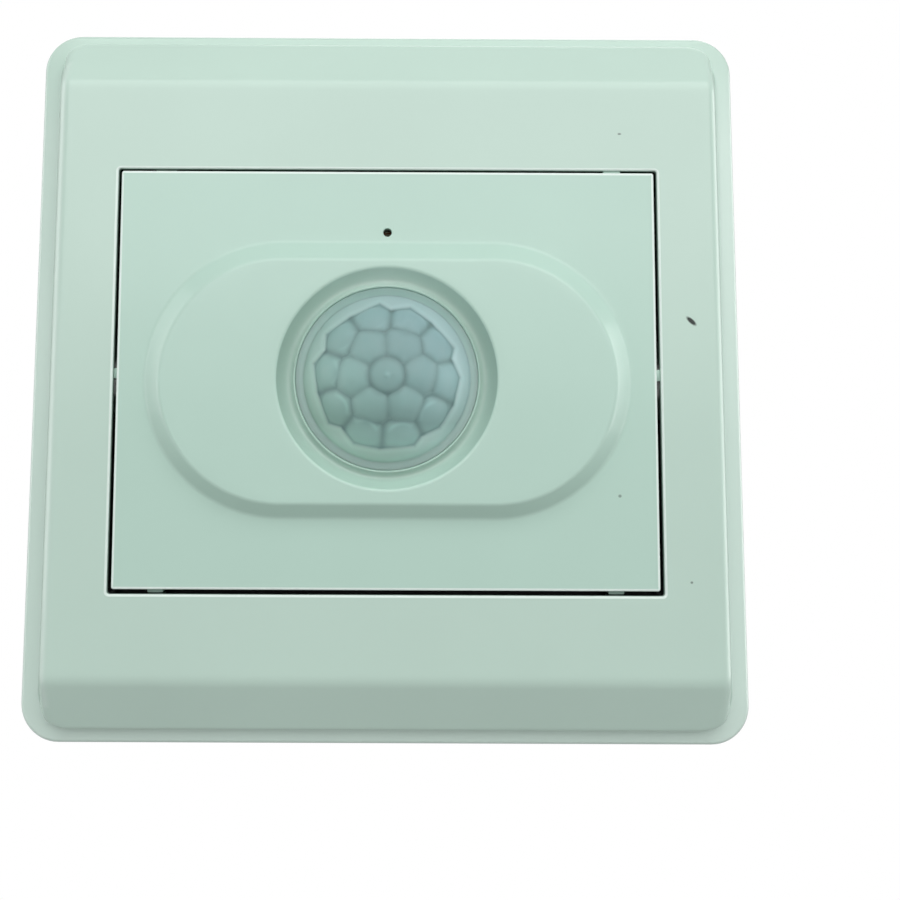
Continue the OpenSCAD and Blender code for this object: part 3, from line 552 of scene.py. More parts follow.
# How much painted highlight the frame's edges, rim and left bend get, and how much painted shadow lies at the
# foot
EDGE_HIGHLIGHT, RIM_LIGHT, BEND_HIGHLIGHT, FOOT_SHADOW = 0.8, 0.4, 0.22, 0.8
N_SIDE, N_CORNER = 90, 12
side_t = np.linspace(-1, 1, N_SIDE)
SIDE_STEPS = 0.55 * side_t + 0.45 * np.sin(side_t * math.pi / 2)
CORNER_STEPS = np.radians(np.linspace(0, 90, N_CORNER + 2)[1:-1])


def taper(y):
    """0 at the insert's foot and 1 at its top."""
    return 0.5 + y / INSERT_H


def widened(xy, by):
    """Moves places outwards in x, not at all at the insert's foot and fully at its top."""
    return xy + np.column_stack([np.sign(xy[:, 0]) * by * taper(xy[:, 1]), np.zeros(len(xy))])


def past_edge(p, hx, hy, r, widen, at):
    """How far points lie outside a rectangle with round corners that widens towards its top."""
    x = np.abs(p[:, 0]) - widen * taper(p[:, 1] - at)
    q = np.column_stack([x - hx + r, np.abs(p[:, 1] - at) - hy + r])
    return np.hypot(*np.maximum(q, 0).T) + np.minimum(q.max(axis=1), 0) - r


def rounded_loop(hx, hy, r):
    """Places and outward directions round a rectangle with round corners."""
    places, outward = [], []
    for quarter in range(4):
        a = quarter * math.pi / 2
        half, other = (hx, hy) if quarter % 2 == 0 else (hy, hx)
        turn = np.array([[math.cos(a), math.sin(a)], [-math.sin(a), math.cos(a)]])
        side = np.stack([np.full(N_SIDE, half), SIDE_STEPS * (other - r)], axis=1)
        bend = headings(CORNER_STEPS)
        places += [side @ turn, (bend * r + [half - r, other - r]) @ turn]
        outward += [np.tile([1.0, 0.0], (N_SIDE, 1)) @ turn, bend @ turn]
    return np.vstack(places), np.vstack(outward)


def fall(u, half, run, drop, bend):
    """How far a flat face has fallen at u, past a bend and down a sloped edge."""
    u, angle = np.abs(u), math.atan2(drop, run)
    start = half - run - bend * math.tan(angle / 2)
    into = np.clip(u - start, 0, bend * math.sin(angle))
    sloped = (u - (half - run)) * drop / run
    return np.where(u > start + bend * math.sin(angle), sloped, bend - np.sqrt(bend ** 2 - into ** 2))


def sloped_face(xy, level, half, tall):
    """Heights of a face with shoulders at its top and foot and steep slopes at its sides."""
    down = fall(xy[:, 1] - BODY_MID, tall, SHOULDER_RUN, SHOULDER_DROP, SHOULDER_BEND)
    side = fall(xy[:, 0], half, SIDE_RUN, SIDE_DROP, SIDE_BEND) / SIDE_DROP
    return level - down - np.minimum(side, 1) * (SIDE_DROP - down)


def face_height(xy):
    return sloped_face(xy, FACE_H, BODY_HALF, BODY_TALL)


def hollow_height(xy):
    return sloped_face(xy, FACE_H - SHELL_T, BODY_HALF - HOLLOW_SIDE, BODY_TALL - HOLLOW_END)


def in_relief(p):
    """Points in the two notches of the panel's flange, which the gap's painted shade doesn't reach."""
    from_middle = np.hypot(np.abs(p[:, 0]) - RELIEF_AT, p[:, 1])
    return (from_middle < RELIEF_R + 0.3) & (p[:, 2] < RELIEF_TOP + 0.2)


def painted_gap_shade(p):
    """How much painted shade the gap gets at points: none near the face, and full below it."""
    return unit((FACE_H - GAP_FROM - p[:, 2]) / GAP_FADE)


def colour_frame(obj, foot):
    """Painted shade in the gap, painted highlights on the edges, rim and left bend, and painted shadow at the
    raised face's foot.
    """
    p = plate_points(obj)
    z = p[:, 2]
    beyond = past_edge(p, OPEN_X, OPEN_Y, OPEN_R, OPEN_TAPER, OPEN_AT)
    set_points(obj, "gap", ((beyond < 0.03) & ~in_relief(p)) * painted_gap_shade(p))
    bright = ((beyond < EDGE_R + 0.08) & (beyond > 0.01) & (z > FRONT_Z)) * EDGE_HIGHLIGHT
    # Painted light makes the rim paler except near its top, and a painted highlight makes the bend at the
    # left side paler
    outside = past_edge(p, BODY_HALF, BODY_TALL, BODY_CORNER, 0, BODY_MID)
    rim = (outside > 0.3) & (z > RIM_H - 1.2) & (z < RIM_H)
    bright = np.where(rim, RIM_LIGHT * (1 - unit((p[:, 1] - 30) / 10)), bright)
    bend = hump(p[:, 0] + BODY_HALF - SIDE_RUN - 0.35, 0.4)
    bright = np.where((z > 4.5) & (np.abs(p[:, 1]) < 38), np.maximum(bright, BEND_HIGHLIGHT * bend), bright)
    set_points(obj, "edge", bright)
    line = np.zeros(len(p))
    line[foot] = FOOT_SHADOW
    set_points(obj, "foot", line)


def front_frame():
    loops = []

    def add(plan, z):
        loops.append(with_height(plan, z))

    def plain(inset, z):
        half = PLATE_HALF - inset
        add(rounded_loop(half, half, PLATE_CORNER - inset)[0], z)

    for inset, z in rounded((BACK_EDGE, 0), (0, 0), (0, BACK_EDGE), 3):
        plain(inset, z)
    outer_z = RIM_H - RIM_FALL
    for inset, z in rounded((0, outer_z - RIM_EDGE), (0, outer_z), (RIM_EDGE, outer_z + 0.22), 6):
        plain(inset, z)

    # The rim slopes up to the wall of the raised face, which ends in a rounded edge, smaller where it is low
    edge, outward = rounded_loop(BODY_HALF, BODY_TALL, BODY_CORNER)
    edge += [0, BODY_MID]
    for out in (0.8, 0.4):
        add(edge + outward * out, RIM_H - RIM_SLOPE * out)
    # The loops of the foot carry a painted shadow line
    foot_from = len(loops)
    for out, z in rounded((0.26, RIM_H - 0.08), (0.02, RIM_H), (0, RIM_H + FOOT_RISE), 4):
        add(edge + outward * out, z)
    foot = slice(foot_from * len(edge), len(loops) * len(edge))
    wall_top = np.maximum(face_height(edge), RIM_H + WALL_LEAST)
    round_r = np.clip(0.45 * (wall_top - RIM_H - FOOT_RISE), *WALL_ROUND)
    start = edge - outward * round_r[:, None]
    for t in np.linspace(0, 1, 6):
        straight, bent = (1 - t) ** 2 * (wall_top - round_r), 2 * t * (1 - t) * wall_top
        add(edge * (1 - t * t) + start * t * t, straight + bent + t * t * face_height(start))

    def opening(out):
        ring = rounded_loop(OPEN_X + out, OPEN_Y + out, OPEN_R + out)[0]
        return widened(ring, OPEN_TAPER) + [0, OPEN_AT]

    shore = opening(EDGE_R + 0.12)
    for t in [*np.linspace(0, 0.46, 36)[1:], 0.6, 0.8, 0.95, 1.0]:
        plan = start + (shore - start) * t
        add(plan, face_height(plan))
    for out in (EDGE_R + 0.06, EDGE_R):
        add(opening(out), FACE_H)
    for a in np.radians(np.linspace(0, 90, 5))[1:]:
        add(opening(EDGE_R * (1 - math.sin(a))), FACE_H - EDGE_R * (1 - math.cos(a)))
    for z in (7.8, 7.2, RELIEF_TOP + 0.5, RELIEF_TOP + 0.1, SEAT_Z + SEAT_EDGE):
        add(opening(0), z)
    add(opening(SEAT_EDGE), SEAT_Z)
    for inset, z in ((SEAT_EDGE, SEAT_Z), (0, SEAT_Z + SEAT_EDGE), (0, FACE_H - SHELL_T)):
        add(rounded_loop(SKIRT_X - inset, SKIRT_Y - inset, SKIRT_R)[0], z)
    skirt = rounded_loop(SKIRT_X, SKIRT_Y, SKIRT_R)[0]
    hollow = rounded_loop(HOLLOW_HALF, HOLLOW_HALF, HOLLOW_CORNER)[0]
    for t in [0.1, *np.linspace(0.25, 1, 20)]:
        plan = skirt + (hollow - skirt) * t
        add(plan, hollow_height(plan))
    add(hollow, HOLLOW_LIP)
    half = HOLLOW_HALF + HOLLOW_LIP
    add(rounded_loop(half, half, HOLLOW_CORNER + HOLLOW_LIP)[0], 0)

    parts = [(np.vstack(loops), quads(len(loops), len(edge), True))]
    peg = [(0, PEG_TIP_Z), (PEG_R - PEG_CHAMFER, PEG_TIP_Z), (PEG_R, PEG_TIP_Z + PEG_POINT),
           (PEG_R, PEG_STOP_Z), (PEG_FOOT_R, PEG_STOP_Z), (PEG_FOOT_R, FACE_H - 1), (0, FACE_H - 1)]
    parts += [turned(peg, i * PEG_AT, j * PEG_AT) for i in (-1, 1) for j in (-1, 1)]
    obj = make_object("front_shell", *join_parts(parts))
    colour_frame(obj, foot)
    finish_piece(obj, "front", frame_plastic, ["front_frame"])


front_frame()

# Sensor panel: every loop has a point in each of these directions from its own middle

corner_ray = math.degrees(math.atan2(PANEL_Y, PANEL_X))
near_corner = np.linspace(-1.6, 1.6, 17)
corner_rays = (corner_ray, 180 - corner_ray, 180 + corner_ray, 360 - corner_ray)
RAYS = np.concatenate([np.arange(360.0), *[ray + near_corner + 0.01 for ray in corner_rays]])
RAYS = np.radians(np.unique(np.round(RAYS, 3)))
RAY_DIR = headings(RAYS)
# How much painted highlight the panel's border gets, painted shade the groove's sides and lower part, and
# painted light its top
BORDER_HIGHLIGHT, GROOVE_SIDE_SHADE, GROOVE_LOW_SHADE, GROOVE_TOP_LIGHT = 0.9, 0.75, 0.85, 0.25


def ray_circle(r):
    return RAY_DIR * r + LENS_AT


def ray_stadium(r, at):
    c, s = np.abs(RAY_DIR).T
    flat = r / np.maximum(s, 1e-6)
    end = PAD_L * c + np.sqrt(np.maximum(r * r - (PAD_L * s) ** 2, 0))
    return RAY_DIR * np.where(flat * c <= PAD_L, flat, end)[:, None] + at


def ray_rect(hx, hy, r):
    c, s = np.abs(RAY_DIR).T
    to_side, to_top = hx / np.maximum(c, 1e-6), hy / np.maximum(s, 1e-6)
    ahead = (hx - r) * c + (hy - r) * s
    bend = ahead + np.sqrt(np.maximum(ahead ** 2 - (hx - r) ** 2 - (hy - r) ** 2 + r * r, 0))
    reach = np.where(to_side * s <= hy - r, to_side, np.where(to_top * c <= hx - r, to_top, bend))
    return widened(RAY_DIR * reach[:, None], PANEL_TAPER) + [0, PANEL_AT]


def colour_panel(obj):
    """Painted shade in the gap and pinhole, a painted highlight on the edge, and painted light and shade in
    the groove.
    """
    p = plate_points(obj)
    x, y, z = p.T
    short = past_edge(p, PANEL_X, PANEL_Y, PANEL_R, PANEL_TAPER, PANEL_AT)
    in_gap = (short > -0.05) & (z > SEAT_Z - 0.05) & ~in_relief(p)
    in_hole = np.hypot(x, y - PINHOLE_Y) < PINHOLE_R + 0.02
    set_points(obj, "gap", (in_gap | in_hole) * painted_gap_shade(p))
    # A painted highlight along the panel's border
    line = ((short > -EDGE_R - 0.1) & (short < -0.01) & (z > FRONT_Z)) * BORDER_HIGHLIGHT
    # Painted shade darkens the groove at its left and right and low on its inner side, and painted light
    # makes its top paler
    side = np.abs(x) / np.maximum(np.hypot(x, y), 1)
    from_axis = np.hypot(x - LENS_AT[0], y - LENS_AT[1])
    groove = (from_axis > BORE_R + 0.1) & (from_axis < RECESS_R + 0.03) & (z > FRONT_Z)
    under = unit((LENS_AT[1] - y) / np.maximum(from_axis, 1))
    inner = unit((GROOVE_R + 0.3 - from_axis) / 0.6)
    shaded = np.maximum(GROOVE_SIDE_SHADE * side ** 2, GROOVE_LOW_SHADE * unit(under / 0.6) * inner)
    set_points(obj, "foot", groove * shaded)
    set_points(obj, "edge", np.where(groove & (y > 0), GROOVE_TOP_LIGHT * (1 - side), line))


def sensor_panel():
    loops = []

    def add(plan, z):
        loops.append(with_height(plan, z))

    def across(a, b, z, steps):
        for t in steps:
            add(a + (b - a) * t, z)

    # A hollow groove runs round the lens: it falls from the bore's lip and rises to the pad
    lip = 0.35
    groove = [
        (BORE_R, PANEL_BACK),
        *rounded((BORE_R, LIP_Z - 0.25), (BORE_R, LIP_Z), (BORE_R + 0.2, LIP_Z), 3),
        *rounded((BORE_R + 0.25, LIP_Z - 0.03), (GROOVE_R, GROOVE_Z), (RECESS_R - 0.12, PAD_TOP - 0.4), 14),
        *rounded((RECESS_R - 0.06, PAD_TOP - 0.25), (RECESS_R, PAD_TOP), (RECESS_R + lip, PAD_TOP), 5)]
    for r, z in groove:
        add(ray_circle(r), z)
    # The bevel runs from the crown to the foot, whose middles lie a little apart
    crown = np.array([PAD_R - PAD_BEVEL, PAD_TOP, *PAD_CROWN_AT])
    foot = np.array([PAD_R, FACE_H, *PAD_FOOT_AT])
    slope, level = foot - crown, np.array([1.0, 0, 0, 0])
    pad_edge = crown - level * 0.3
    across(ray_circle(RECESS_R + lip), ray_stadium(pad_edge[0], PAD_CROWN_AT), PAD_TOP, (0.1, 0.5, 0.9, 1))
    for r, z, *at in [*rounded(pad_edge, crown, crown + slope * 0.14, 6)[1:],
                      *rounded(foot - slope * 0.14, foot, foot + level * 0.3, 5)]:
        add(ray_stadium(r, at), z)

    def border(inset):
        return ray_rect(PANEL_X - inset, PANEL_Y - inset, PANEL_R)

    across(ray_stadium(PAD_R + 0.3, PAD_FOOT_AT), border(EDGE_R + 0.14), FACE_H, (0.12, 0.5, 0.9, 1))
    add(border(EDGE_R + 0.08), FACE_H)
    for a in np.radians(np.linspace(0, 90, 5)):
        add(border(EDGE_R * (1 - math.sin(a))), FACE_H - EDGE_R * (1 - math.cos(a)))
    for z in (7.6, SEAT_Z):
        add(border(0), z)
    for inset, z in ((EASE, SEAT_Z), (0, SEAT_Z - EASE), (0, FLANGE_Z + EASE), (EASE, FLANGE_Z)):
        add(ray_rect(SKIRT_X - inset, SKIRT_Y - inset, FLANGE_R), z)
    inside = ray_rect(PANEL_X - PANEL_WALL, PANEL_Y - PANEL_WALL, FLANGE_R)
    for z in (FLANGE_Z, PANEL_BACK):
        add(inside, z)
    across(inside, ray_circle(COLLAR_OUT), PANEL_BACK, (0.05, 0.5, 0.95, 1))
    for r, z in ((COLLAR_OUT, COLLAR_Z + EASE), (COLLAR_OUT - EASE, COLLAR_Z), (COLLAR_IN + EASE, COLLAR_Z),
                 (COLLAR_IN, COLLAR_Z + EASE), (COLLAR_IN, PANEL_BACK)):
        add(ray_circle(r), z)

    obj = make_object("sensor_insert", np.vstack(loops), quads(len(loops), len(RAYS), True))
    notch = [(0, 2), (RELIEF_R, 2), (RELIEF_R, RELIEF_TOP), (0, RELIEF_TOP)]
    flare = PINHOLE_R + PINHOLE_FLARE
    pinhole = [(0, 6), (PINHOLE_R, 6), (PINHOLE_R, FACE_H - 0.06), (flare, FACE_H + 0.02),
               (flare, 9.2), (0, 9.2)]
    cut_with(obj, [*[turned(notch, i * RELIEF_AT, 0) for i in (-1, 1)], turned(pinhole, 0, PINHOLE_Y, 32)])
    colour_panel(obj)
    finish_piece(obj, "front", panel_plastic, ["sensor_panel"])


def insert_nibs():
    nibs = []
    for x, y, half, depth in NIBS:
        dx, dy = (half, NIB_HALF) if abs(y) > 1 else (NIB_HALF, half)
        nibs.append(soft_block(x - dx, x + dx, y - dy, y + dy, FACE_H - NIB_DEEP, FACE_H - depth, 0.1))
    obj = make_object("insert_nibs", *join_parts(nibs))
    # The nibs get a little of the gap's painted shade
    set_points(obj, "gap", np.full(len(obj.data.vertices), 0.15))
    finish_piece(obj, "front", panel_plastic)


sensor_panel()
insert_nibs()

# Lens: a milky dome of small bulging facets, with a plain band round them

RING_POLAR = (0.0, 21.5, 38.5)
RING_COUNT = (1, 6, 10)
RING_START = (0.0, 2.0, -4.0)
# The middle facet is round. The border is a ragged polygon, as the outer facets lean together in pairs
MIDDLE_R = 2.05
BASE_POLAR = math.asin(DOME_BASE_R / DOME_R)
BORDER_PEAK, BORDER_LEAN, BORDER_DEEP, BORDER_SHALLOW = 8.5, 6.0, 7.8, 8.25
FACET_TINT, BAND_TINT = np.array([0.296, 0.466, 0.449]), np.array([0.43, 0.61, 0.575])
# How much painted light and shade the band and the ring get by direction, and the ring's top tint in red,
# green and blue
BAND_SIDES, BAND_FOOT = 0.13, 0.11
RING_SIDES, RING_LOW, RING_HIGH = 0.17, 0.12, np.array([-0.11, 0.01, -0.01])
# The colour of the painted shade in the seams, and the ring's own colour
SEAM_SHADE, RING_TINT = np.array([0.18, 0.29, 0.28]), np.array([0.37, 0.51, 0.475])


def uneven(k, turn):
    """A fixed number between -1 and 1 for each k."""
    return np.sin(k * 12.9898 + turn * 4.1)


def facet_centres():
    aims = []
    for polar, count, start in zip(RING_POLAR, RING_COUNT, RING_START):
        for k in range(count):
            p, a = math.radians(polar), math.radians(start + k * 360 / count)
            aims.append((math.sin(p) * math.cos(a), math.sin(p) * math.sin(a), math.cos(p)))
    return np.array(aims)


def facet_border():
    """Corners of the polygon, in plan, that the outer facets end on."""
    corners, count = [], RING_COUNT[-1]
    for k in range(count):
        lean, dip_r = (BORDER_LEAN, BORDER_DEEP) if k % 2 == 0 else (-BORDER_LEAN, BORDER_SHALLOW)
        middle = RING_START[-1] + k * 360 / count
        corners += [(middle + lean + 2.5 * uneven(k, 1), BORDER_PEAK + 0.14 * uneven(k, 3)),
                    (middle + 180 / count + 2 * uneven(k, 2), dip_r + 0.12 * uneven(k, 4))]
    a, r = np.array(corners).T
    return headings(np.radians(a)) * r[:, None]


def inside_polygon(p, corners):
    """How far plan places lie inside a polygon, below 0 outside it."""
    nearest = np.full(len(p), 1e9)
    odd = np.zeros(len(p), bool)
    for a, b in zip(corners, np.roll(corners, -1, axis=0)):
        share = unit((p - a) @ (b - a) / ((b - a) @ (b - a)))
        nearest = np.minimum(nearest, np.linalg.norm(p - a - share[:, None] * (b - a), axis=1))
        crosses = (a[1] > p[:, 1]) != (b[1] > p[:, 1])
        rise = b[1] - a[1] if abs(b[1] - a[1]) > 1e-9 else 1e-9
        odd ^= crosses & (p[:, 0] < (b[0] - a[0]) * (p[:, 1] - a[1]) / rise + a[0])
    return np.where(odd, nearest, -nearest)


def facet_field(aim):
    """The facet that each direction from the dome's centre meets, and the way to its seams and border."""
    centres = facet_centres()
    away = DOME_R ** 2 * np.maximum(2 - 2 * aim @ centres.T, 0)
    down = DOME_R * np.arccos(np.clip(aim[:, 2], -1, 1))
    middle = down < MIDDLE_R
    round_it = np.argsort(away[:, 1:], axis=1)[:, :2] + 1
    first, second = (np.take_along_axis(away, round_it[:, k:k + 1], 1)[:, 0] for k in (0, 1))
    apart = DOME_R * np.linalg.norm(centres[round_it[:, 0]] - centres[round_it[:, 1]], axis=1)
    to_middle = np.abs(down - MIDDLE_R)
    to_seam = np.where(middle, to_middle, np.minimum((second - first) / (2 * apart), to_middle))
    to_border = inside_polygon(aim[:, :2] * DOME_R, facet_border())
    soft = 0.8
    bulge = first - soft * np.log(np.exp(-(away[:, 1:] - first[:, None]) / soft).sum(axis=1))
    share = smooth(unit((MIDDLE_R - down) / 0.5 + 0.5))
    bulge = np.minimum(bulge, 4.6) * (1 - share) + down ** 2 * share
    return SimpleNamespace(
        centres=centres, cell=np.where(middle, 0, round_it[:, 0]), down=down, bulge=bulge,
        out=np.sqrt(np.where(middle, down ** 2, first)), inside=smooth(unit((to_border + 0.1) / 0.24)),
        pip=hump(down, 0.3), to_middle=to_middle, to_seam=to_seam, to_border=to_border)


def dome_tint(aim, f):
    """Colours of the dome's facets, of the seams between them and of the plain band, with painted light and
    shade.
    """
    # Painted glints along the inner sides of the outer facets, each by its own amount
    outer_facet = f.cell > RING_COUNT[1]
    glint = 0.5 + 0.5 * uneven(f.cell, 5)
    own = f.centres[f.cell]
    inwards = ((own - aim)[:, :2] * own[:, :2]).sum(axis=1)
    inwards /= np.maximum(np.linalg.norm(own[:, :2], axis=1) * f.out / DOME_R, 1e-6)
    inner_side = outer_facet * unit((inwards - 0.35) / 0.4)
    # Each facet has its own tone, and they turn bluer to the upper right
    tone = 1 + 0.05 * uneven(f.cell, 6) + 0.08 * outer_facet + 0.09 * unit(-aim[:, 0] / 0.5)
    blue = unit(0.5 + (aim[:, 0] + aim[:, 1]) * 0.5)[:, None]
    tint = BAND_TINT + (FACET_TINT * tone[:, None] - BAND_TINT) * f.inside[:, None]
    tint *= (1 + (blue - 0.5) * [0.06, 0.02, 0.16])
    # Painted shade darkens the seams, the ends of the facets and their border
    seam = (0.3 + 0.28 * outer_facet) * hump(f.to_seam, 0.42) * f.inside + 0.3 * hump(f.to_middle, 0.4)
    seam += 0.25 * unit((f.out - 1.9) / 0.55) * f.inside + 0.32 * hump(f.to_border - 0.08, 0.2)
    tint += (SEAM_SHADE - tint) * unit(seam)[:, None]
    # Painted highlights inside the border, on the middle pip and along the glints, and painted shade near the
    # dome's foot
    lit = 0.05 * hump(f.to_border + 0.35, 0.2) + 0.08 * f.pip
    lit += 0.22 * glint * inner_side * hump(f.out - 1.5, 0.24)
    lit -= 0.1 * hump(DOME_R * BASE_POLAR - f.down, 0.3)
    # Painted light makes the lower side of the milky wall paler, and painted shade darkens it above
    low = unit((-aim[:, 1] - 0.48) / 0.2) * 0.42 - unit(aim[:, 1] / 0.35) * 0.14
    tint *= ((1 + lit) * (1 + low))[:, None]
    # Painted light makes the plain band paler at its left and right, and painted shade makes it darker at its
    # foot
    way = aim[:, :2] / np.maximum(np.linalg.norm(aim[:, :2], axis=1), 1e-6)[:, None]
    turned_to = BAND_SIDES * way[:, 0] ** 2 - BAND_FOOT * unit(-way[:, 1]) ** 2
    return tint * (1 + (1 - f.inside) * turned_to)[:, None]


def ring_tint(points):
    """Colours of the ring round the dome: paler at its sides and foot by painted light, and less red at its
    top.
    """
    x, y = points[:, 0:1], points[:, 1:2]
    on_flat = unit((LENS_R - RING_EDGE - np.hypot(x, y - LENS_AT[1])) / 0.4)
    sides = 1 + RING_SIDES * on_flat * np.clip(x / LENS_R, -1, 1) ** 2
    return RING_TINT * (1 + RING_LOW * unit(-y / LENS_R)) * (1 + RING_HIGH * unit(y / LENS_R)) * sides


def lens():
    columns = 420
    flat = headings(np.linspace(0, 2 * math.pi, columns, endpoint=False))
    polar = np.linspace(0, BASE_POLAR, 110)[1:]
    aim = np.vstack([[(0, 0, 1)], *[with_height(flat * math.sin(a), math.cos(a)) for a in polar]])
    f = facet_field(aim)
    rise = f.inside * (0.10 - 0.065 * f.bulge) - (1 - f.inside) * 0.1 - 0.04 * hump(f.to_border, 0.16)
    dome = aim * (DOME_R + rise + 0.06 * f.pip)[:, None] + [0, 0, DOME_C]

    ring = [with_height(flat * r, z) for r, z in (
        (DOME_BASE_R + 0.06, RING_Z), (DOME_BASE_R + 0.3, RING_Z),
        *rounded((LENS_R - RING_EDGE, RING_Z), (LENS_R, RING_Z), (LENS_R, RING_Z - RING_EDGE), 4),
        (LENS_R, PANEL_BACK), (LENS_FOOT_R - 0.1, PANEL_BACK), (LENS_FOOT_R, PANEL_BACK - 0.1),
        (LENS_FOOT_R, LENS_FOOT_Z + 0.1), (LENS_FOOT_R - 0.1, LENS_FOOT_Z),
        (LENS_INNER_R, LENS_FOOT_Z), (LENS_INNER_R, DOME_Z + 0.1))]
    inner_r = DOME_R - LENS_T
    for a in np.linspace(math.asin(LENS_INNER_R / inner_r), 0.05, 12):
        ring.append(with_height(flat * (inner_r * math.sin(a)), DOME_C + inner_r * math.cos(a)))
    points = np.vstack([dome, *ring, [(0, 0, DOME_C + inner_r)]]) + [*LENS_AT, 0]
    n_loops = len(polar) + len(ring)
    faces = [(0, 1 + j, 1 + (j + 1) % columns) for j in range(columns)]
    faces += [tuple(i + 1 for i in face) for face in quads(n_loops, columns, False)]
    last, end = 1 + (n_loops - 1) * columns, len(points) - 1
    faces += [(last + j, end, last + (j + 1) % columns) for j in range(columns)]
    obj = make_object("lens_dome", points, faces)
    colours = np.ones((len(points), 4), np.float32)
    colours[:, :3] = ring_tint(points)
    colours[:len(dome), :3] = dome_tint(aim, f)
    layer = obj.data.color_attributes.new("tint", "FLOAT_COLOR", "POINT")
    layer.data.foreach_set("color", colours.ravel())
    finish_piece(obj, "front", lens_plastic, ["fresnel_lens"], sharp=60)


lens()

# Raised letters and moulding marks on the base

REAR_Z = -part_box("rear_cover")[1][1] / MM
YOKE_Z = 2.0
RAISED, SUNK = 0.2, 0.05
DIAL_X, DIAL_Y, DIAL_R, DIAL_W, DIAL_OUT = 9.0, -14.0, 4.4, 0.3, 0.9
DIAL_FROM, DIAL_TO, DIAL_STEP, TICK_HALF = -30, 210, 40, 2
SIGN_X, WORD_DROP = 4.6, 7.4
POLE_PITCH, POLE_WORD_Y = 7.62, -13.6
MARK_R = 1.9


def letters(text, size, x, y, z, rear=False):
    """Raised letters on a face at height z, read from the front or the rear."""
    curve = bpy.data.curves.new("letters", "FONT")
    curve.body, curve.size, curve.extrude = text, size, (RAISED + SUNK) / 2
    curve.offset = 0.03 * size
    curve.align_x, curve.align_y = "CENTER", "CENTER"
    curve.resolution_u = 4
    obj = add_object("letters", curve)
    mesh = bpy.data.meshes.new_from_object(obj.evaluated_get(bpy.context.evaluated_depsgraph_get()))
    p = np.array([tuple(v.co) for v in mesh.vertices])
    faces = [tuple(f.vertices) for f in mesh.polygons]
    bpy.data.objects.remove(obj)
    way = -1 if rear else 1
    lift = p[:, 2] + (RAISED - SUNK) / 2
    return np.column_stack([x + way * p[:, 0], y + p[:, 1], z + way * lift]), faces


def arc_bar(x, y, r0, r1, a0, a1, z):
    """A raised bar along an arc from angle a0 to a1."""
    a = np.radians(np.linspace(a0, a1, max(2, int(abs(a1 - a0) / 5) + 1)))
    way = headings(a)
    n = len(a)
    loops = [with_height(way * r + [x, y], h) for r, h in
             ((r0, z - SUNK), (r1, z - SUNK), (r1, z + RAISED - 0.05), (r1 - 0.05, z + RAISED),
              (r0 + 0.05, z + RAISED), (r0, z + RAISED - 0.05))]
    faces = []
    for i in range(len(loops)):
        b = (i + 1) % len(loops)
        faces += [(i * n + j, i * n + j + 1, b * n + j + 1, b * n + j) for j in range(n - 1)]
    ends = range(0, len(loops) * n, n)
    faces += [tuple(ends), tuple(i + n - 1 for i in reversed(ends))]
    return np.vstack(loops), faces


ink = moulded("marking_ink", (0.085, 0.105, 0.105), rough=(0.45, 0.62))


def inked(name, parts):
    obj = make_object(name, *join_parts(parts), merge=True)
    finish_piece(obj, "base", ink, sharp=30)


def dial_scales():
    dials, tick_r = [], DIAL_R + DIAL_W - SUNK
    for x, word in ((-DIAL_X, "TIME"), (DIAL_X, "LUX")):
        dials += [letters(word, 3.0, x, DIAL_Y - WORD_DROP, YOKE_Z),
                  letters("-", 3.0, x - SIGN_X, DIAL_Y - 4.3, YOKE_Z),
                  letters("+", 2.6, x + SIGN_X, DIAL_Y - 4.4, YOKE_Z),
                  arc_bar(x, DIAL_Y, DIAL_R, DIAL_R + DIAL_W, DIAL_FROM, DIAL_TO, YOKE_Z)]
        for a in range(DIAL_FROM, DIAL_TO + 1, DIAL_STEP):
            dials.append(arc_bar(x, DIAL_Y, tick_r, DIAL_R + DIAL_OUT, a - TICK_HALF, a + TICK_HALF, YOKE_Z))
    inked("dial_scales", dials)


def terminal_letters():
    words = [letters(word, size, x, POLE_WORD_Y, REAR_Z, rear=True)
             for word, size, x in (("L", 3.6, -POLE_PITCH), ("N", 3.6, 0), ("OUT", 3.0, POLE_PITCH))]
    inked("terminal_letters", words)


def mould_marks():
    lip = [(0, 0.05), (MARK_R, 0.05), (MARK_R, -0.05), (MARK_R - 0.06, -0.1), (MARK_R - 0.3, -0.1),
           (MARK_R - 0.38, -0.03), (0, -0.03)]

    def mark(x, y, z):
        return turned([(r, z + h) for r, h in lip], x, y, 48)

    marks = [mark(i * x, j * y, 0) for x, y in ((14, 33), (33, 17)) for i in (-1, 1) for j in (-1, 1)]
    marks += [mark(i * 20, y, REAR_Z) for y in (11, -6) for i in (-1, 1)]
    obj = make_object("mould_marks", *join_parts(marks))
    finish_piece(obj, "base", base_plastic, sharp=30)


dial_scales()
terminal_letters()
mould_marks()

# Terminal screws: slotted heads with a domed crown, and a thread

SEAT_AT, SEAT_PLAY = -23.2, 0.03
SCREW_R, THREAD_PITCH, THREAD_DEPTH = 1.45, 0.5, 0.25
HEAD_EDGE, SLOT_W, SLOT_DEPTH = 0.12, 0.7, 0.8


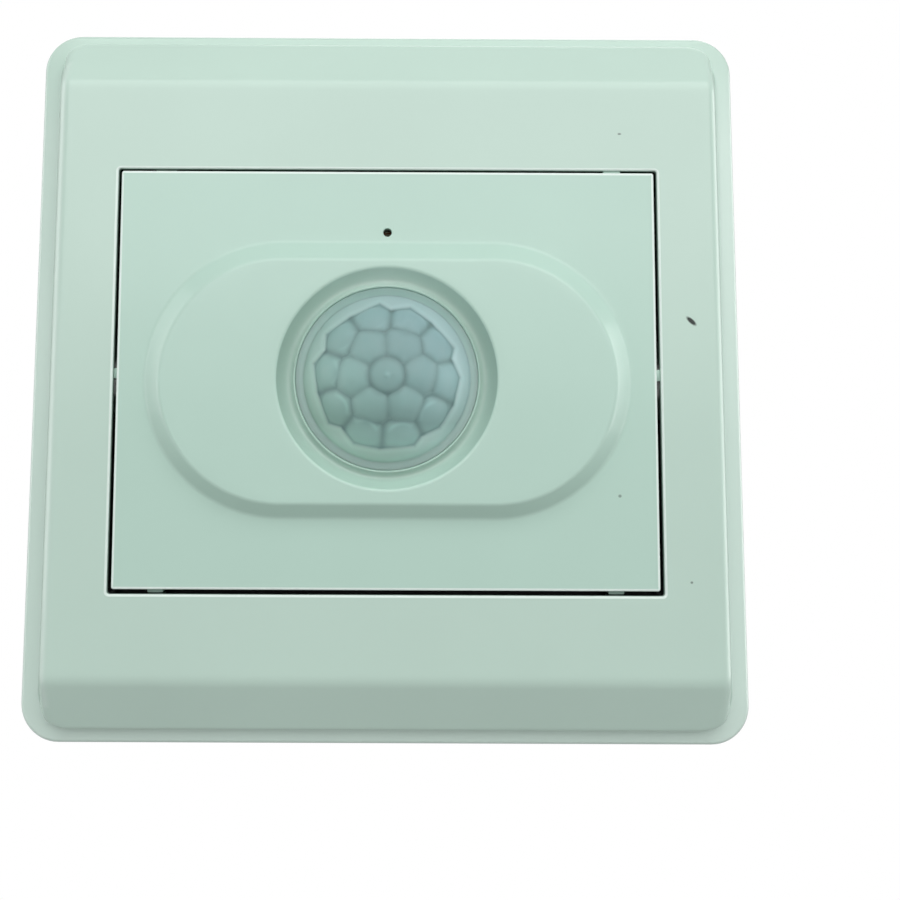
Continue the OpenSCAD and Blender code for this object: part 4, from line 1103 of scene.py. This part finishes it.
def terminal_screw(name):
    low, high = np.array(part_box(name + "_screw")) / MM
    x, y, head_r = (low[0] + high[0]) / 2, (low[2] + high[2]) / 2, (high[0] - low[0]) / 2
    tip, top = -low[1], -high[1]
    seat = SEAT_AT - SEAT_PLAY
    profile = [(0, tip), (SCREW_R - 0.4, tip), (SCREW_R - THREAD_DEPTH, tip - 0.2)]
    for z in np.arange(tip - 0.2 - THREAD_PITCH / 2, seat + 1.2, -THREAD_PITCH):
        profile += [(SCREW_R, z), (SCREW_R - THREAD_DEPTH, z - THREAD_PITCH / 2)]
    profile += [(SCREW_R - 0.1, seat + 0.6), (SCREW_R - 0.1, seat),
                (head_r - HEAD_EDGE, seat), (head_r, seat - HEAD_EDGE),
                *rounded((head_r, top + 0.5), (head_r, top + 0.1), (head_r - 0.5, top), 6), (0, top)]
    obj = make_object(name + "_slotted_screw", *turned(profile, x, y, 72))
    cut_with(obj, [soft_block(x - 3, x + 3, y - SLOT_W / 2, y + SLOT_W / 2, top - 1, top + SLOT_DEPTH, 0.05)])
    finish_piece(obj, name + "_screw", NODE_MATERIALS["steel"], [name + "_screw"], sharp=30)


for pole in POLES:
    terminal_screw(pole)

# Camera, light and floor

FLOOR_Z, WHITE = -0.0436, (1, 1, 1, 1)
camera = bpy.data.cameras.new("camera")
camera.sensor_width, camera.lens = 36.0, 38.4357
camera.shift_x, camera.shift_y = 0.0703, -0.1159
camera.clip_start, camera.clip_end = 0.005, 20
camera_at = add_object("camera", camera)
camera_at.location = (-0.0002186, -0.1198706, -0.0070310)
camera_at.rotation_euler = np.radians((95.40673, -0.26064, -0.12218))
scene.camera = camera_at


def soft_light(name, place, aim, width, height, power, only_gloss=False):
    light = bpy.data.lights.new(name, "AREA")
    light.shape, light.size, light.size_y = "RECTANGLE", width, height
    light.energy = power
    obj = add_object(name, light)
    obj.location = place
    obj.rotation_euler = (Vector(aim) - Vector(place)).to_track_quat("-Z", "Y").to_euler()
    obj.visible_camera, obj.visible_diffuse = False, not only_gloss


soft_light("key", (0.06, -0.37, 0.30), (0, 0, 0), 0.66, 0.52, 1.95)
soft_light("rear", (-0.05, 0.40, 0.17), (0, 0.01, 0), 0.6, 0.5, 0.95)
# Lights that are seen in reflections alone
MIRRORED = (
    ("ceiling", (0.14, 0.27, 0.5), (0.03, 0, 0), 0.5, 0.46, 0.5),
    ("window", (0.5, 0.03, 0.03), (0.03, 0, 0), 0.3, 0.4, 0.75),
    ("left_wall", (-0.5, -0.05, 0.13), (-0.03, 0, 0), 0.3, 0.5, 0.55),
    ("far_wall", (0, -0.53, 0.06), (0, 0, 0.06), 1.2, 0.08, 0.27))
for light in MIRRORED:
    soft_light(*light, only_gloss=True)


def choose(tree, factor, a, b, output):
    """Shader a where factor is 0 and b where it is 1."""
    made = node(tree, "ShaderNodeMixShader")
    for k, socket in enumerate((factor, a, b)):
        tree.links.new(socket, made.inputs[k])
    tree.links.new(made.outputs["Shader"], tree.nodes[output].inputs["Surface"])


def room():
    """White to the camera, and otherwise a grey room, brighter behind the plate and far to both sides."""
    world = bpy.data.worlds.new("studio")
    scene.world = world
    world.use_nodes = True
    sky = world.node_tree
    grey = sky.nodes["Background"]
    grey.inputs["Color"].default_value = WHITE
    way = node(sky, "ShaderNodeTexCoord").outputs["Generated"]
    behind = graded(along(way, "Y"), -0.1, 0.5, 0.37, 0.42)
    aside = graded(sums("ABSOLUTE", along(way, "X")), 0.8, 0.95, 0.0, 0.9)
    sky.links.new(sums("ADD", behind, aside), grey.inputs["Strength"])
    white = node(sky, "ShaderNodeBackground", Color=WHITE)
    seen = node(sky, "ShaderNodeLightPath").outputs["Is Camera Ray"]
    choose(sky, seen, grey.outputs["Background"], white.outputs["Background"], "World Output")


def white_floor():
    """A floor that the camera alone sees, and only from above."""
    floor = bpy.data.meshes.new("floor")
    corners = [(x, y, FLOOR_Z) for x, y in ((-3, -3), (3, -3), (3, 3), (-3, 3))]
    floor.from_pydata(corners, [], [(0, 1, 2, 3)])
    floor_at = add_object("floor", floor)
    pale = new_material("pale_floor")
    tree = pale.node_tree
    glow = node(tree, "ShaderNodeEmission", Color=WHITE, Strength=1.0)
    below = node(tree, "ShaderNodeNewGeometry").outputs["Backfacing"]
    clear = node(tree, "ShaderNodeBsdfTransparent")
    choose(tree, below, glow.outputs["Emission"], clear.outputs["BSDF"], "Material Output")
    floor.materials.append(pale)
    for ray in ("visible_diffuse", "visible_glossy", "visible_transmission", "visible_shadow"):
        setattr(floor_at, ray, False)


room()
white_floor()

scene.view_settings.view_transform = "Standard"
scene.view_settings.look = "None"
